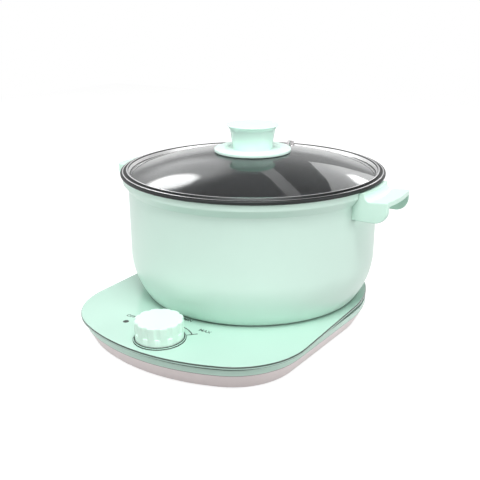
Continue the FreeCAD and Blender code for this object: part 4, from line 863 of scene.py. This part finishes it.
# Radius, height and bend of each corner, from the bore outwards and back under the lip.
seat_line = rounded_line([
    (SEAT_BORE, seat_high.z - SEAT_DISH, 0.0),
    (SEAT_DISH_RADIUS, seat_high.z - SEAT_DISH, 0.5 * MM),
    (SEAT_DISH_RADIUS + SEAT_DISH_SLOPE, seat_high.z, 0.5 * MM),
    (seat_radius, seat_high.z, 1.2 * MM),
    (seat_radius, above_glass(seat_radius, SEAT_LIP_FIT), 0.7 * MM),
    (seat_radius - SEAT_LIP, above_glass(seat_radius - SEAT_LIP, SEAT_FIT), 0.5 * MM),
    (SEAT_HUB + 1.0 * MM, above_glass(SEAT_HUB, SEAT_FIT), 0.0)])
seat_hub = np.array([
    (SEAT_HUB, above_glass(SEAT_HUB, SEAT_FIT)), (SEAT_HUB, seat_low.z), (SEAT_BORE, seat_low.z)])
seat_path = np.concatenate([seat_line, seat_hub, seat_line[:1]])
seat_mesh = turned_mesh("seat_saucer", seat_path, [pale_abs])
place_piece("seat_saucer", seat_mesh, "lid", "mint_plastic", "knob_seat")


# ---- Floor and backdrop ----
# One white sheet of matt paper, much larger than the object, laid flat. It keeps a soft contact
# shadow and shows as plain white to the camera, in metal and through glass.
FLOOR_HALF = 1.6
PAPER_FIBRE = 4.0 * MM
PAPER_GLOW = 0.88
PAPER_MATT = 0.3


def white_sweep(name, light, shade):
    """White paper for light that falls on it, and mostly its own white when it is seen.

    Real fibres are too fine to show, so they are drawn as a drift a few millimetres wide."""
    made, tree, shader, place = new_material(name)
    fibre = add(tree, "TexNoise", {"Vector": place, "Scale": 1 / PAPER_FIBRE, "Detail": 2.0})
    mixed = add(tree, "Mix", {
        SHARE: fibre.outputs["Fac"], FIRST: colour(shade), SECOND: colour(light)}, data_type="RGBA")
    feed(tree, shader, {
        "Base Color": mixed.outputs[MIXED], "Roughness": 0.9, "Specular IOR Level": 0.0})
    seen = add(tree, "LightPath")
    either = add(tree, "Math", {
        0: seen.outputs["Is Camera Ray"], 1: seen.outputs["Is Glossy Ray"]}, operation="MAXIMUM")
    any_ray = add(tree, "Math", {
        0: either.outputs["Value"], 1: seen.outputs["Is Transmission Ray"]}, operation="MAXIMUM")
    glow = add(tree, "Emission", {"Color": (1.0, 1.0, 1.0, 1.0), "Strength": PAPER_GLOW})
    matt = add(tree, "BsdfDiffuse", {"Color": (PAPER_MATT, PAPER_MATT, PAPER_MATT, 1.0)})
    white = add(tree, "AddShader", {0: glow.outputs["Emission"], 1: matt.outputs["BSDF"]})
    chosen = add(tree, "MixShader", {
        0: any_ray.outputs["Value"], 1: shader.outputs["BSDF"], 2: white.outputs["Shader"]})
    output = next(n for n in tree.nodes if n.type == "OUTPUT_MATERIAL")
    feed(tree, output, {"Surface": chosen.outputs["Shader"]})
    return made


floor_corners = [(-FLOOR_HALF, -FLOOR_HALF, 0), (FLOOR_HALF, -FLOOR_HALF, 0),
                 (FLOOR_HALF, FLOOR_HALF, 0), (-FLOOR_HALF, FLOOR_HALF, 0)]
floor_mesh = bpy.data.meshes.new("floor")
floor_mesh.from_pydata(floor_corners, [], [(0, 1, 2, 3)])
floor = bpy.data.objects.new("floor", floor_mesh)
bpy.context.scene.collection.objects.link(floor)
floor_mesh.materials.append(white_sweep("paper_white", "A8A8A8", "A4A4A4"))


# ---- World ----
# White surroundings under a dark ceiling, and behind the object a studio wall that darkens
# upwards and shows in the lid. Matt surfaces get a low, even light from all round, and the
# camera sees plain white.
EVEN_LIGHT = 0.24
# Sockets of a mix of plain numbers: its two values, beside the same share as a colour's.
LOW, HIGH = 2, 3
world = bpy.data.worlds.new("studio")
bpy.context.scene.world = world
world.use_nodes = True
sky = world.node_tree
sky.nodes.clear()
direction = add(sky, "SeparateXYZ", {"Vector": add(sky, "TexCoord").outputs["Generated"]})
wall = add(sky, "ValToRGB", {"Fac": direction.outputs["Z"]})
set_stops(wall.color_ramp, [
    (0.13, "F9F9F9"), (0.21, "D2D2D2"), (0.34, "CECECE"), (0.48, "B0B0B0"), (0.62, "9A9A9A")])
front = add(sky, "MapRange", {
    "Value": direction.outputs["Z"], "From Min": 0.55, "From Max": 0.78,
    "To Min": 0.95, "To Max": 0.20})
behind = add(sky, "MapRange", {
    "Value": direction.outputs["Y"], "From Min": -0.1, "From Max": 0.25})
room = add(sky, "Mix", {
    SHARE: behind.outputs["Result"], LOW: front.outputs["Result"], HIGH: wall.outputs["Color"]})
seen = add(sky, "LightPath")
mirrored = add(sky, "Math", {
    0: seen.outputs["Is Glossy Ray"], 1: seen.outputs["Is Transmission Ray"]}, operation="MAXIMUM")
level = add(sky, "Mix", {
    SHARE: mirrored.outputs["Value"], LOW: EVEN_LIGHT, HIGH: room.outputs["Result"]})
strength = add(sky, "Mix", {
    SHARE: seen.outputs["Is Camera Ray"], LOW: level.outputs["Result"], HIGH: 1.0})
glow = add(sky, "Background", {
    "Color": (1.0, 1.0, 1.0, 1.0), "Strength": strength.outputs["Result"]})
add(sky, "OutputWorld", {"Surface": glow.outputs["Background"]})


# ---- Lamps ----
# Softboxes: a wide one on the front left, one on each side and a key high at the front. Behind
# the pot stand two small ones, each with a haze round it, two dim panels and a dim strip,
# which mirror in the lid.
AIM = Vector((*pot_axis, 0.15))


def softbox(name, place, along, length, width, radiance, fade=0.0):
    """Flat lamp at a place, aimed at the lid, with its long side along a direction.

    A lamp's power is its radiance times its area times pi. With a fade, the light falls off
    from that share of the way out, in an oval, to nothing at the sides."""
    lamp = bpy.data.lights.new(name, "AREA")
    lamp.shape = "RECTANGLE"
    lamp.size = length
    lamp.size_y = width
    lamp.energy = radiance * math.pi * length * width
    if fade:
        lamp.use_nodes = True
        tree = lamp.node_tree
        tree.nodes.clear()
        spot = add(tree, "NewGeometry").outputs["Parametric"]
        centred = add(tree, "VectorMath", {
            0: spot, 1: (2.0, 2.0, 0.0), 2: (-1.0, -1.0, 0.0)}, operation="MULTIPLY_ADD")
        out = add(tree, "VectorMath", {0: centred.outputs["Vector"]}, operation="LENGTH")
        cloth = add(tree, "MapRange", {
            "Value": out.outputs["Value"], "From Min": 1.0, "From Max": fade},
            interpolation_type="SMOOTHSTEP")
        shine = add(tree, "Emission", {"Strength": cloth.outputs["Result"]})
        add(tree, "OutputLight", {"Surface": shine.outputs["Emission"]})
    box = bpy.data.objects.new(name, lamp)
    bpy.context.scene.collection.objects.link(box)
    back = (Vector(place) - AIM).normalized()
    across = back.cross(Vector(along)).normalized()
    turned = Matrix((across.cross(back), across, back)).transposed()
    box.matrix_world = Matrix.Translation(place) @ turned.to_4x4()
    box.visible_camera = False


softbox("softbox_front", (-0.40, -1.12, 0.62), (1, 0, 0), 1.0, 0.7, 2.2)
softbox("softbox_left", (-1.30, -0.35, 0.60), (0, 1, 0), 0.7, 0.5, 2.0)
softbox("softbox_right", (1.45, 0.12, 0.60), (0, 1, 0), 0.6, 0.4, 11.0)
softbox("softbox_top", (0.305, -0.462, 1.505), (1, 0, 0), 0.70, 0.70, 14.5)
softbox("softbox_back_left", (-1.00, 0.74, 0.94), (0.240, 0.097, 0.172), 0.42, 0.31, 4.5, 0.6)
softbox("haze_back_left", (-1.02, 0.76, 0.96), (0.240, 0.097, 0.172), 0.75, 0.55, 0.25, 0.1)
softbox("softbox_back_right", (-0.10, 1.39, 0.73), (0.177, 0.010, 0.040), 0.28, 0.18, 4.5, 0.6)
softbox("haze_back_right", (-0.17, 1.44, 0.70), (0.177, 0.010, 0.040), 0.50, 0.36, 0.25, 0.1)
softbox("panel_back_left", (-0.975, 0.898, 0.835), (0.48, -0.256, 0.839), 0.85, 0.75, 0.8, 0.45)
softbox("panel_back_right", (-0.072, 1.344, 0.782), (0.639, -0.343, 0.687), 0.62, 0.50, 1.1)
softbox("strip_back", (-0.388, 1.003, 1.122), (0.285, -0.145, 0.238), 0.55, 0.10, 0.6)


# ---- Camera ----
# A 52 mm lens on a 36 mm wide frame, in front of the object and to its right, looking down.
# Two directions give the way that it looks and its right-hand side, and the third follows.
camera_data = bpy.data.cameras.new("camera")
camera_data.lens = 51.675
camera_data.sensor_width = 36.0
camera_data.clip_start = 0.01
camera_data.clip_end = 50.0
camera = bpy.data.objects.new("camera", camera_data)
bpy.context.scene.collection.objects.link(camera)
stand = Vector((0.34423, -0.53843, 0.29868))
ahead = Vector((-0.50763, 0.79856, -0.32343)).normalized()
right = Vector((0.84464, 0.53532, -0.00393))
right = (right - ahead * right.dot(ahead)).normalized()
above = right.cross(ahead)
turned = Matrix((right, above, -ahead)).transposed()
camera.matrix_world = Matrix.Translation(stand) @ turned.to_4x4()
bpy.context.scene.camera = camera
bpy.context.scene.view_settings.view_transform = "Standard"
